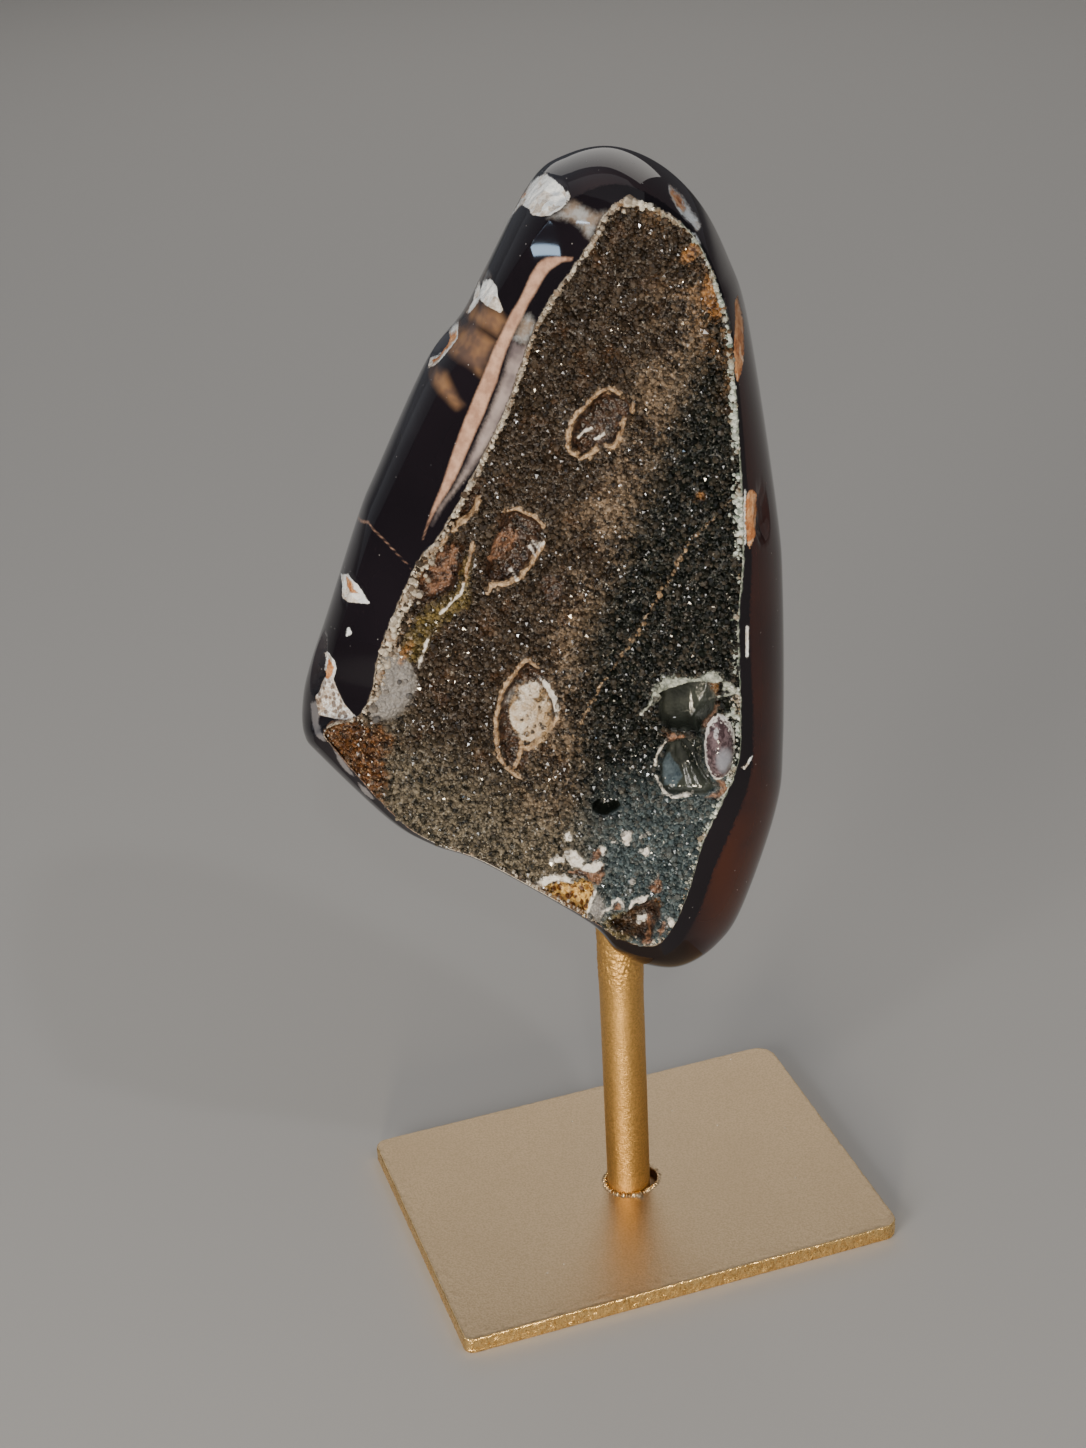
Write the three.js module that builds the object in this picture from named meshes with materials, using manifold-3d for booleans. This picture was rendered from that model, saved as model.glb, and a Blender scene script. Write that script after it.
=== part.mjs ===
// A druzy agate freeform held up on a post over a rectangular plate.
// Millimetres, +Z up. The origin is the centre of the plate's underside, X runs along the plate's
// long side, and the crystal face looks towards -Y, turned a little towards -X.
//
// The stone is described in the frame of its crystal face: across (to the right), up, and out of
// the face towards the viewer. The face's frame starts above the post, on the plane of the face.
import * as THREE from "three";
import { mergeVertices } from "three/addons/utils/BufferGeometryUtils.js";
import Module from "manifold-3d";

const wasm = await Module();
wasm.setup();

// Driving dimensions of the stand.
const PLATE_WIDTH = 100;
const PLATE_DEPTH = 72;
const PLATE_THICKNESS = 4;
const PLATE_CORNERS = [2.2, 3.2, 4.5, 2.6]; // front left, front right, back right, back left
const PLATE_ARRIS = 0.4;
const POST_RADIUS = 4.9;
const POST_SIDES = 40;
const SOCKET_RADIUS = 6;
const SOCKET_SHIFT = [0.7, 0.35]; // the hole is drilled a little off the post's axis
const SOCKET_FLOOR = 1;
const BURR_HEIGHT = 0.7; // the ragged rim that the drilling left round the hole
const BURR_WIDTH = 0.5;
const POST_TOP_GAP = 2; // between the post's top and the end of its bore
const GAP = 0.3;

// Driving dimensions of the stone.
const FOOT_HEIGHT = 66; // the face's frame starts this high above the table
const FACE_TURN = -22; // degrees about Z
const FACE_LEAN = 3; // degrees back from upright
const FACE_TO_POST = 14;
const BORE_DEPTH = 22; // above the foot height
const BORE_RUNOUT = 30; // how far below it the cut starts
const WIDEST_DEPTH = 20; // the widest line lies this far behind the face
const STONE_THICKNESS = 44;
const BACK_CENTRE = [-12, 84];
const BACK_FULLNESS = 0.72; // under 1, the back is fuller than an ellipse
const BACK_SMOOTHING = 0.07; // share of the way round over which the outline evens out
const SHOULDER_START = 35; // degrees, where the round of the flank begins
const RIB_STEPS = 2;
const SHOULDER_RINGS = 6;
const BACK_RINGS = 8;
const BACK_END = 0.985; // the back closes with a small flat at this share of its turn

// Each rib runs from the edge of the crystal face to the stone's widest line, anticlockwise from the
// right: edge across, edge up, widest across, widest up, share ground flat, fall of that flat part.
const RIBS = [
  [25.6, 80, 35.2, 80, 0.25, 1.6],
  [26.8, 100, 34.0, 98, 0.22, 1.4],
  [25.0, 136, 28.8, 135, 0.2, 1.0],
  [22.5, 148, 25.0, 148, 0.25, 1.2],
  [18.5, 157, 19.8, 158.5, 0.3, 1.6],
  [12.4, 162, 12.4, 166, 0.35, 2.2],
  [6.5, 164, 3.6, 169.6, 0.4, 3.0],
  [2.6, 161, -5.0, 168.4, 0.5, 4.0],
  [-0.5, 155.5, -12.0, 163.6, 0.6, 5.0],
  [-9.5, 143.4, -21.6, 147.3, 0.7, 6.0],
  [-14.5, 131.5, -26.6, 138.6, 0.72, 6.4],
  [-18.6, 122, -34.0, 129.5, 0.74, 6.8],
  [-30.0, 102, -45.3, 107.6, 0.76, 7.0],
  [-36.0, 94.5, -49.7, 98.2, 0.74, 6.6],
  [-44.0, 77.5, -57.8, 77, 0.7, 6.0],
  [-46.4, 68.5, -61.6, 67.5, 0.68, 5.8],
  [-49.6, 63, -63.9, 60, 0.66, 5.4],
  [-56.6, 60, -64.2, 53.5, 0.4, 2.4],
  [-54.5, 55, -61.9, 46.8, 0.35, 2.0],
  [-43.5, 40, -49.5, 31.5, 0.3, 1.8],
  [-36.0, 34, -40.5, 25.5, 0.3, 1.8],
  [-26.0, 29.4, -29.0, 21.0, 0.3, 1.8],
  [-5.3, 15.8, -8.0, 7.6, 0.3, 1.8],
  [0.5, 11.5, -0.5, 0.0, 0.3, 2.0],
  [7.3, 9.5, 8.2, -4.0, 0.32, 2.2],
  [11.7, 14, 14.5, -4.4, 0.32, 2.2],
  [15.4, 23.5, 21.0, -0.2, 0.3, 2.2],
  [18.3, 34, 26.4, 8.4, 0.28, 2.2],
  [25.0, 50, 33.6, 31.4, 0.27, 2.0],
  [26.0, 62, 35.2, 47.1, 0.27, 1.8],
];

// The crust of small crystals that covers the face.
const CRUST_DEPTH = 4.2;
const CRUST_INSET = 0.9;
const RECESS_INSET = 0.6;
const RECESS_DEPTH = 4.5;
const CRYSTAL_PITCH = 3.1; // between the knots of the net, the tips stand 1.7 times as far apart
const CRYSTAL_HEIGHT = 1.6;
const CRUST_SAG = 1.0; // the face is hollow by this much in the middle
const BED_LOW = [-62, 4]; // the net of crystals covers this box before it is trimmed
const BED_HIGH = [32, 170];
const SEED = 20417;

// Ring pits in the crust: across, up, half width, half height, turn in degrees, depth.
const RING_PITS = [
  [0.8, 122.4, 5.7, 7.0, -9, 2.0],
  [-17.0, 97.6, 5.6, 8.2, -16, 2.0],
  [-32.6, 91.4, 5.4, 13.6, -26, 2.2],
  [-16.6, 61.6, 5.9, 11.4, -5, 1.8],
];
const RING_RIM = 1.5; // height of the rim round a ring pit
const RING_WIDTH = 0.16; // its half width as a share of the pit's half size
// Small deep hole: across, up, half width, half height, turn, depth.
const DEEP_HOLE = [-0.7, 42.1, 3.6, 2.2, -8, 4.6];

// Pockets with flat broken walls, by their mouths, with depth and the share that the floor keeps.
const UPPER_CAVE = [[8.8, 67.4], [13, 70], [19.2, 71.2], [23.4, 70.4], [22.6, 63], [17, 60.4], [10.2, 60]];
const LOWER_CAVE = [[8.6, 54.6], [11, 58.8], [17, 59.4], [19, 53], [19.4, 48.2], [17.2, 45.6], [10.5, 48]];
const GOLD_POCKET = [[-15.2, 21.8], [-13.4, 24.6], [-9.6, 26], [-6, 24.2], [-4.8, 18.6], [-7.4, 13.5]];
const BOTTOM_POCKET = [[-0.4, 14.2], [3.6, 17.4], [8.6, 20.4], [10.2, 19], [10.4, 12.4], [6.4, 10.6]];
const POCKETS = [
  [UPPER_CAVE, 9, 0.62],
  [LOWER_CAVE, 5.5, 0.66],
  [GOLD_POCKET, 4.2, 0.7],
  [BOTTOM_POCKET, 3.8, 0.6],
];
const POCKET_MOUTH = 4; // the cutting shapes start this far in front of the face

// A rounded lump of chalcedony beside the caves: centre across, up, out, and its half sizes.
const LUMP = [21.9, 54.4, -2.2, 3.3, 7.8, 4.6];

// Natural scoops in the polished skin: centre across, up, out, half sizes, and turn in degrees.
const SCOOPS = [
  [-32.8, 135.6, -15.5, 3.4, 6.0, 5.0, -28],
  [-9.6, 167.4, -7.6, 4.4, 4.0, 3.2, -35],
  [-60.4, 70.5, -12.0, 2.4, 8.5, 4.0, -10],
  [33.2, 101.5, -6.0, 2.6, 6.4, 3.4, 8],
];

// Finishes.
const GILT = { color: 0xb08d55, roughness: 0.42, metalness: 0.9 };
const AGATE = { color: 0x2b2427, roughness: 0.08, metalness: 0 };
const DRUSE = { color: 0x3f3a31, roughness: 0.35, metalness: 0, flatShading: true };

const radians = THREE.MathUtils.degToRad;

function seededRandom(seed) {
  let state = seed;
  return () => {
    state = (state * 1664525 + 1013904223) % 4294967296;
    return state / 4294967296;
  };
}
const random = seededRandom(SEED);

// A closed three.js geometry as a solid that can be joined and cut.
function solidOf(geometry) {
  const bare = geometry.index ? geometry.clone() : geometry;
  bare.deleteAttribute("normal");
  bare.deleteAttribute("uv");
  const merged = mergeVertices(bare, 1e-4);
  return new wasm.Manifold(
    new wasm.Mesh({
      numProp: 3,
      vertProperties: merged.attributes.position.array,
      triVerts: new Uint32Array(merged.index.array),
    }),
  );
}

function geometryOf(solid) {
  const mesh = solid.getMesh();
  const geometry = new THREE.BufferGeometry();
  geometry.setAttribute("position", new THREE.BufferAttribute(mesh.vertProperties, 3));
  geometry.setIndex(new THREE.BufferAttribute(mesh.triVerts, 1));
  geometry.computeVertexNormals();
  return geometry;
}

function node(name, geometry, finish) {
  const mesh = new THREE.Mesh(geometry, new THREE.MeshStandardMaterial(finish));
  mesh.name = name;
  return mesh;
}

// A closed skin over rings of equally many points, with a flat polygon at each end.
function loft(rings) {
  const around = rings[0].length;
  const points = rings.flat();
  const faces = [];
  for (let j = 0; j + 1 < rings.length; j++) {
    for (let i = 0; i < around; i++) {
      const next = (i + 1) % around;
      const [a, b, c, d] = [j * around + i, j * around + next, (j + 1) * around + next, (j + 1) * around + i];
      faces.push(a, d, b, b, d, c);
    }
  }
  const flat = (ring) => ring.map((p) => new THREE.Vector2(p.x, p.y));
  for (const [a, b, c] of THREE.ShapeUtils.triangulateShape(flat(rings[0]), [])) faces.push(a, b, c);
  const last = (rings.length - 1) * around;
  for (const [a, b, c] of THREE.ShapeUtils.triangulateShape(flat(rings.at(-1)), [])) {
    faces.push(last + a, last + c, last + b);
  }
  const geometry = new THREE.BufferGeometry().setFromPoints(points);
  geometry.setIndex(faces);
  return geometry;
}

// An ellipsoid of flat faces, turned within the face's plane.
function blob([across, up, out], [halfAcross, halfUp, halfOut], turn, detail = 2) {
  return solidOf(
    new THREE.IcosahedronGeometry(1, detail)
      .scale(halfAcross, halfUp, halfOut)
      .rotateZ(radians(turn))
      .translate(across, up, out),
  );
}

// The ribs as smooth closed curves: t runs once round from 0 to 1.
function ribAt(t) {
  const count = RIBS.length;
  const whole = Math.floor(t * count);
  const f = t * count - whole;
  const [a, b, c, d] = [-1, 0, 1, 2].map((k) => RIBS[(whole + k + count) % count]);
  return b.map(
    (_, k) =>
      0.5 *
      (2 * b[k] +
        (c[k] - a[k]) * f +
        (2 * a[k] - 5 * b[k] + 4 * c[k] - d[k]) * f * f +
        (3 * b[k] - a[k] - 3 * c[k] + d[k]) * f * f * f),
  );
}

// The edge of the crystal face, drawn in by a margin, anticlockwise.
function faceOutline(inset) {
  const count = RIBS.length * RIB_STEPS;
  const edge = Array.from({ length: count }, (_, i) => new THREE.Vector2(...ribAt(i / count)));
  return edge.map((p, i) => {
    const along = edge[(i + 1) % count].clone().sub(edge[(i + count - 1) % count]).normalize();
    return p.clone().add(new THREE.Vector2(-along.y, along.x).multiplyScalar(inset));
  });
}

// An upright prism on that outline, from a level behind the face to one in front of it.
function facePrism(inset, from) {
  const depth = POCKET_MOUTH - from;
  const outline = new THREE.Shape(faceOutline(inset));
  return solidOf(new THREE.ExtrudeGeometry(outline, { depth, bevelEnabled: false }).translate(0, 0, from));
}

// One ring of the stone's skin: 0 is the crease where the flat ground band ends and the shoulder
// begins, 1 is the widest line, and 2 the middle of the back.
function stoneRing(place) {
  const count = RIBS.length * RIB_STEPS;
  return Array.from({ length: count }, (_, i) => {
    const t = i / count;
    return place > 1 ? backPoint(t, place - 1) : shoulderPoint(ribAt(t), place);
  });
}

function shoulderPoint([edgeX, edgeY, wideX, wideY, flat, fall], place) {
  const start = radians(SHOULDER_START);
  const turn = start + (Math.PI / 2 - start) * place;
  const outward = (Math.sin(turn) - Math.sin(start)) / (1 - Math.sin(start));
  const inward = (Math.cos(start) - Math.cos(turn)) / Math.cos(start);
  const share = flat + (1 - flat) * outward;
  return new THREE.Vector3(
    THREE.MathUtils.lerp(edgeX, wideX, share),
    THREE.MathUtils.lerp(edgeY, wideY, share),
    -fall - (WIDEST_DEPTH - fall) * inward,
  );
}

// Towards the middle of the back the outline's bays even out.
function backPoint(t, place) {
  const turn = (place * Math.PI) / 2;
  const keep = Math.cos(turn) ** BACK_FULLNESS;
  const spread = BACK_SMOOTHING * Math.sin(turn);
  const near = [-1, -0.5, 0, 0.5, 1].map((k) => ribAt((t + k * spread + 1) % 1));
  const mean = (column) => near.reduce((sum, rib) => sum + rib[column] / near.length, 0);
  return new THREE.Vector3(
    THREE.MathUtils.lerp(BACK_CENTRE[0], mean(2), keep),
    THREE.MathUtils.lerp(BACK_CENTRE[1], mean(3), keep),
    -WIDEST_DEPTH - (STONE_THICKNESS - WIDEST_DEPTH) * Math.sin(turn),
  );
}

// The cutting shape of a pocket: its mouth in front of the face, narrowing to its floor.
function pocketCutter([mouth, depth, floorShare]) {
  const mean = (axis) => mouth.reduce((sum, point) => sum + point[axis] / mouth.length, 0);
  const middle = [mean(0), mean(1)];
  const level = (share, out) =>
    mouth.map(([x, y]) =>
      new THREE.Vector3(
        THREE.MathUtils.lerp(middle[0], x, share),
        THREE.MathUtils.lerp(middle[1], y, share),
        out,
      ),
    );
  const rings = [level(1, POCKET_MOUTH), level(1, 0.5), level(floorShare, -depth)];
  return solidOf(loft(isClockwise(mouth) ? rings.map((ring) => ring.reverse()) : rings));
}

function isClockwise(points) {
  return THREE.ShapeUtils.area(points.map(([x, y]) => new THREE.Vector2(x, y))) < 0;
}

// How far the crust's ground surface stands out at a place on the face.
function crustLevel(across, up) {
  const fromMiddle = Math.hypot((across + 8) / 42, (up - 85) / 80);
  const sag = -CRUST_SAG * Math.max(0, 1 - fromMiddle ** 2);
  const waves = 0.35 * Math.sin(across / 6.1 + up / 17) + 0.3 * Math.sin(up / 8.3 - across / 13);
  return sag + waves - 0.9;
}

// A slab whose top is packed with low six-sided crystal points. Every third knot of a triangular
// net is a tip, and the six faces round it fall to the knots between the tips.
function crystalBed(low, high) {
  const rowPitch = CRYSTAL_PITCH * Math.sin(Math.PI / 3);
  const rows = Math.ceil((high[1] - low[1]) / rowPitch);
  const columns = Math.ceil((high[0] - low[0]) / CRYSTAL_PITCH);
  const top = [];
  const plain = [];
  for (let j = 0; j <= rows; j++) {
    for (let i = 0; i <= columns; i++) {
      const diagonal = i - Math.floor(j / 2);
      const isTip = (((diagonal - j) % 3) + 3) % 3 === 0;
      const stray = CRYSTAL_PITCH * (isTip ? 0.7 : 0.3);
      const across = low[0] + (i + (j % 2) / 2) * CRYSTAL_PITCH;
      const up = low[1] + j * rowPitch;
      const rise = isTip ? CRYSTAL_HEIGHT * (0.45 + 0.9 * random()) : -0.3 * random();
      const level = crustLevel(across, up) + rise;
      top.push(new THREE.Vector3(across + (random() - 0.5) * stray, up + (random() - 0.5) * stray, level));
      plain.push(new THREE.Vector2(across, up));
    }
  }
  const knot = (i, j) => j * (columns + 1) + i;
  const faces = [];
  for (let j = 0; j < rows; j++) {
    for (let i = 0; i < columns; i++) {
      const [a, b, c, d] = [knot(i, j), knot(i + 1, j), knot(i + 1, j + 1), knot(i, j + 1)];
      faces.push(...(j % 2 ? [a, b, c, a, c, d] : [a, b, d, b, c, d]));
    }
  }
  const rim = [];
  for (let i = 0; i < columns; i++) rim.push(knot(i, 0));
  for (let j = 0; j < rows; j++) rim.push(knot(columns, j));
  for (let i = columns; i > 0; i--) rim.push(knot(i, rows));
  for (let j = rows; j > 0; j--) rim.push(knot(0, j));
  const below = rim.map((k) => new THREE.Vector3(plain[k].x, plain[k].y, -CRUST_DEPTH));
  const middle = new THREE.Vector3((low[0] + high[0]) / 2, (low[1] + high[1]) / 2, -CRUST_DEPTH);
  const centre = top.length + below.length;
  rim.forEach((a, k) => {
    const next = (k + 1) % rim.length;
    const [under, underNext] = [top.length + k, top.length + next];
    faces.push(under, underNext, rim[next], under, rim[next], a, underNext, under, centre);
  });
  const geometry = new THREE.BufferGeometry().setFromPoints([...top, ...below, middle]);
  geometry.setIndex(faces);
  return geometry;
}

// The crust: the bed of crystals, trimmed to the face's outline, with its ring pits and pockets.
function makeCrust(boreInFace) {
  const trim = facePrism(CRUST_INSET, -2 * CRUST_DEPTH);
  let crust = solidOf(crystalBed(BED_LOW, BED_HIGH)).intersect(trim);
  for (const [across, up, halfAcross, halfUp, turn, depth] of RING_PITS) {
    const level = crustLevel(across, up);
    const rim = new THREE.TorusGeometry(1, RING_WIDTH, 5, 22)
      .scale(halfAcross, halfUp, RING_RIM / RING_WIDTH)
      .rotateZ(radians(turn))
      .translate(across, up, level);
    const bowl = blob([across, up, level + 0.2], [halfAcross * 0.93, halfUp * 0.93, depth], turn);
    crust = crust.add(solidOf(rim).intersect(trim)).subtract(bowl);
  }
  for (const cutter of [...deepCuts(), lumpOf(GAP)]) crust = crust.subtract(cutter);
  return node("druzy_crust", geometryOf(largest(crust.subtract(boreInFace))), DRUSE);
}

// The cuts that go through the crust into the stone behind it.
function deepCuts() {
  const [across, up, halfAcross, halfUp, turn, depth] = DEEP_HOLE;
  return [blob([across, up, 0], [halfAcross, halfUp, depth], turn), ...POCKETS.map(pocketCutter)];
}

// The lump grows out of the stone, and the crust stops a little short of it.
function lumpOf(margin) {
  const [across, up, out, ...half] = LUMP;
  return blob([across, up, out], half.map((size) => size + margin), 0);
}

function largest(solid) {
  return solid.decompose().sort((a, b) => b.volume() - a.volume())[0];
}

// The polished stone: ground band, round shoulder and full back, with the face's recess cut in.
function makeStone(boreInFace) {
  const edge = faceOutline(0).map((p) => new THREE.Vector3(p.x, p.y, 0));
  const shoulder = Array.from({ length: SHOULDER_RINGS }, (_, i) => stoneRing(i / SHOULDER_RINGS));
  const back = Array.from({ length: BACK_RINGS }, (_, i) => stoneRing(1 + i / BACK_RINGS));
  const skin = loft([edge, ...shoulder, ...back, stoneRing(1 + BACK_END)]);
  let stone = solidOf(skin).subtract(facePrism(RECESS_INSET, -RECESS_DEPTH));
  for (const cutter of deepCuts()) stone = stone.subtract(cutter);
  stone = stone.add(lumpOf(0));
  for (const [x, y, z, a, b, c, turn] of SCOOPS) stone = stone.subtract(blob([x, y, z], [a, b, c], turn, 1));
  return node("agate_stone", geometryOf(largest(stone.subtract(boreInFace))), AGATE);
}

function makePlate() {
  const [halfWidth, halfDepth] = [PLATE_WIDTH / 2 - PLATE_ARRIS, PLATE_DEPTH / 2 - PLATE_ARRIS];
  const corners = [[-1, -1], [1, -1], [1, 1], [-1, 1]];
  const shape = new THREE.Shape();
  corners.forEach(([x, y], i) => {
    const r = PLATE_CORNERS[i] - PLATE_ARRIS;
    const start = Math.PI + (i * Math.PI) / 2;
    shape.absarc(x * (halfWidth - r), y * (halfDepth - r), r, start, start + Math.PI / 2);
  });
  const body = new THREE.ExtrudeGeometry(shape, {
    depth: PLATE_THICKNESS - 2 * PLATE_ARRIS,
    bevelSize: PLATE_ARRIS,
    bevelThickness: PLATE_ARRIS,
    bevelSegments: 2,
    curveSegments: 5,
  }).translate(0, 0, PLATE_ARRIS);
  const burr = new THREE.TorusGeometry(SOCKET_RADIUS + GAP, BURR_WIDTH, 4, 26);
  const at = burr.attributes.position;
  for (let i = 0; i < at.count; i++) {
    const bearing = Math.atan2(at.getY(i), at.getX(i));
    at.setZ(i, at.getZ(i) * (BURR_HEIGHT / BURR_WIDTH) * (0.7 + 0.3 * Math.sin(bearing * 9)));
  }
  burr.translate(SOCKET_SHIFT[0], SOCKET_SHIFT[1], PLATE_THICKNESS);
  const socket = new THREE.CylinderGeometry(SOCKET_RADIUS, SOCKET_RADIUS, 2 * PLATE_THICKNESS, POST_SIDES)
    .rotateX(Math.PI / 2)
    .translate(SOCKET_SHIFT[0], SOCKET_SHIFT[1], SOCKET_FLOOR + PLATE_THICKNESS);
  return node("base_plate", geometryOf(solidOf(body).add(solidOf(burr)).subtract(solidOf(socket))), GILT);
}

function makePost() {
  const bottom = SOCKET_FLOOR + GAP;
  const height = FOOT_HEIGHT + BORE_DEPTH - POST_TOP_GAP - bottom;
  const rod = new THREE.CylinderGeometry(POST_RADIUS, POST_RADIUS, height, POST_SIDES)
    .rotateX(Math.PI / 2)
    .translate(0, 0, bottom + height / 2);
  return node("post", rod, GILT);
}

// The face's frame, turned about the post and leaning back a little.
const turned = new THREE.Group();
turned.rotation.z = radians(FACE_TURN);
turned.position.z = FOOT_HEIGHT;
const face = new THREE.Group();
const lean = radians(FACE_LEAN);
face.rotation.x = Math.PI / 2 - lean;
face.position.set(0, -FACE_TO_POST * Math.cos(lean), FACE_TO_POST * Math.sin(lean));
turned.add(face);
turned.updateMatrixWorld(true);

// The bore for the post, upright in the world, seen in the face's frame.
const bore = solidOf(
  new THREE.CylinderGeometry(POST_RADIUS + GAP, POST_RADIUS + GAP, BORE_DEPTH + BORE_RUNOUT, POST_SIDES)
    .rotateX(Math.PI / 2)
    .translate(0, 0, FOOT_HEIGHT + (BORE_DEPTH - BORE_RUNOUT) / 2)
    .applyMatrix4(face.matrixWorld.clone().invert()),
);
face.add(makeStone(bore), makeCrust(bore));

const freeform = new THREE.Group();
freeform.add(makePlate(), makePost(), turned);

export default freeform;
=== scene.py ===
# %% [markdown]
# # A druzy agate freeform on its gilt stand
# The object is a polished piece of dark agate with one side left as nature made it: a face covered
# with thousands of tiny quartz crystals. A post carries it over a rectangular plate, and both are
# painted gold. This lesson builds the visible surfaces around the engineering model, piece by piece.

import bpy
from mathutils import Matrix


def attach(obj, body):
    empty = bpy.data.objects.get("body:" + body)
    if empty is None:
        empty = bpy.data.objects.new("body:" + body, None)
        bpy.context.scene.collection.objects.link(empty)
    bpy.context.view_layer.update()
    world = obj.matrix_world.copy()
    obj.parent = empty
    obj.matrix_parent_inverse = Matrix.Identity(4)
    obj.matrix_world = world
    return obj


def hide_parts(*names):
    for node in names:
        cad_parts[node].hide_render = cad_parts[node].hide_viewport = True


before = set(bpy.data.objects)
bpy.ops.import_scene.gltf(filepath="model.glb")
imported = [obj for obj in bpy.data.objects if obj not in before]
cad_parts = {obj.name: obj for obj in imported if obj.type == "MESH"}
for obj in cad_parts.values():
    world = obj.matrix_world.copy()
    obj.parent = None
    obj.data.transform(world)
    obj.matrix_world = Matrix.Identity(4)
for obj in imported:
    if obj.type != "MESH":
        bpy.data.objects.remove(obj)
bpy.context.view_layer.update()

import math

import bmesh
import bpy
import numpy as np
from mathutils import Matrix, Vector, noise

MM = 0.001

# %% [markdown]
# ## The frame of the crystal face
# Everything on the stone is easiest to describe as seen from the front of its crystal face: so many
# millimetres across, up, and out of the face. One matrix takes such a place to the object's own
# frame, and the materials use the same three numbers, so that shapes and colours line up.

# %% The face's frame
FOOT_HEIGHT = 66
FACE_TURN = math.radians(-22)
FACE_LEAN = math.radians(3)
FACE_TO_POST = 14
WIDEST_DEPTH = 20
STONE_THICKNESS = 43.8

face_shift = Vector((0, -FACE_TO_POST * math.cos(FACE_LEAN), FACE_TO_POST * math.sin(FACE_LEAN)))
face_to_object = (
    Matrix.Translation((0, 0, FOOT_HEIGHT))
    @ Matrix.Rotation(FACE_TURN, 4, "Z")
    @ Matrix.Translation(face_shift)
    @ Matrix.Rotation(math.pi / 2 - FACE_LEAN, 4, "X")
)
ACROSS = face_to_object.to_3x3().col[0]
UP = face_to_object.to_3x3().col[1]
OUT = face_to_object.to_3x3().col[2]
FACE_ORIGIN = face_to_object.translation
print("the face looks along", [round(n, 3) for n in OUT])

# %% [markdown]
# ## The outline of the stone
# A stone that was ground by hand has no circle or ellipse in it. Its outline is a smooth closed curve
# through a few measured places, called ribs here. Each rib leaves the edge of the crystal face and
# meets the stone's widest line, and the first part of its way is ground flat.

# %% Ribs from the crystal face to the widest line
RIBS = np.array([  # face edge across and up, widest line across and up, flat share, flat part's fall
    [25.6, 80, 35.2, 80, 0.25, 1.6],
    [26.8, 100, 34.0, 98, 0.22, 1.4],
    [25.0, 136, 28.8, 135, 0.2, 1.0],
    [22.5, 148, 25.0, 148, 0.25, 1.2],
    [18.5, 157, 19.8, 158.5, 0.3, 1.6],
    [12.4, 162, 12.4, 166, 0.35, 2.2],
    [6.5, 164, 3.6, 169.6, 0.4, 3.0],
    [2.6, 161, -5.0, 168.4, 0.5, 4.0],
    [-0.5, 155.5, -12.0, 163.6, 0.6, 5.0],
    [-9.5, 143.4, -21.6, 147.3, 0.7, 6.0],
    [-14.5, 131.5, -26.6, 138.6, 0.72, 6.4],
    [-18.6, 122, -34.0, 129.5, 0.74, 6.8],
    [-30.0, 102, -45.3, 107.6, 0.76, 7.0],
    [-36.0, 94.5, -49.7, 98.2, 0.74, 6.6],
    [-44.0, 77.5, -57.8, 77, 0.7, 6.0],
    [-46.4, 68.5, -61.6, 67.5, 0.68, 5.8],
    [-49.6, 63, -63.9, 60, 0.66, 5.4],
    [-56.6, 60, -64.2, 53.5, 0.4, 2.4],
    [-54.5, 55, -61.2, 48.6, 0.33, 2.0],
    [-43.5, 40, -48.2, 34.6, 0.28, 1.8],
    [-36.0, 34, -39.4, 28.9, 0.25, 1.8],
    [-26.0, 29.4, -28.2, 24.2, 0.22, 1.8],
    [-5.3, 15.8, -7.4, 10.0, 0.24, 1.8],
    [0.5, 11.5, -0.5, 0.0, 0.3, 2.0],
    [7.3, 9.5, 8.2, -4.0, 0.32, 2.2],
    [11.7, 14, 14.5, -4.4, 0.32, 2.2],
    [15.4, 23.5, 21.0, -0.2, 0.3, 2.2],
    [18.3, 34, 26.4, 8.4, 0.28, 2.2],
    [25.0, 50, 33.6, 31.4, 0.27, 2.0],
    [26.0, 62, 35.2, 47.1, 0.27, 1.8],
])


def rib_at(t):
    """The ribs joined smoothly: t runs once round the face, anticlockwise, from 0 to 1."""
    place = np.mod(t, 1.0) * len(RIBS)
    whole = np.floor(place).astype(int)
    f = (place - whole)[:, None]
    a, b, c, d = (RIBS[(whole + k) % len(RIBS)] for k in (-1, 0, 1, 2))
    return 0.5 * (2 * b + (c - a) * f + (2 * a - 5 * b + 4 * c - d) * f**2 + (3 * b - a - 3 * c + d) * f**3)


def inward_at(t, step=0.002):
    """The direction that points into the face, square to its edge."""
    ahead = rib_at(t + step)[:, :2] - rib_at(t - step)[:, :2]
    ahead /= np.linalg.norm(ahead, axis=1)[:, None]
    return np.column_stack([-ahead[:, 1], ahead[:, 0]])


edge_curve = rib_at(np.linspace(0, 1, 1600, endpoint=False))[:, :2]
edge_steps = np.linalg.norm(np.roll(edge_curve, -1, axis=0) - edge_curve, axis=1)
print("the crystal face is", round(float(edge_steps.sum())), "mm round its edge")

# %% [markdown]
# ## Measuring from drawn shapes
# Veins, chips and pits are drawn on the face as lines and outlines. What a surface needs to know is
# how far a point is from them. A distance varies smoothly, so it can be stored on a fairly coarse
# mesh and still give a crisp border when a material asks whether it is above or below zero.

# %% Distances on the face
def to_line(points, line):
    """Distance of each point from an open line through the given places."""
    best = np.full(len(points), 1e9)
    for a, b in zip(np.asarray(line[:-1], float), np.asarray(line[1:], float)):
        along = np.clip(((points - a) @ (b - a)) / ((b - a) @ (b - a)), 0, 1)
        best = np.minimum(best, np.linalg.norm(points - a - along[:, None] * (b - a), axis=1))
    return best


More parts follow.
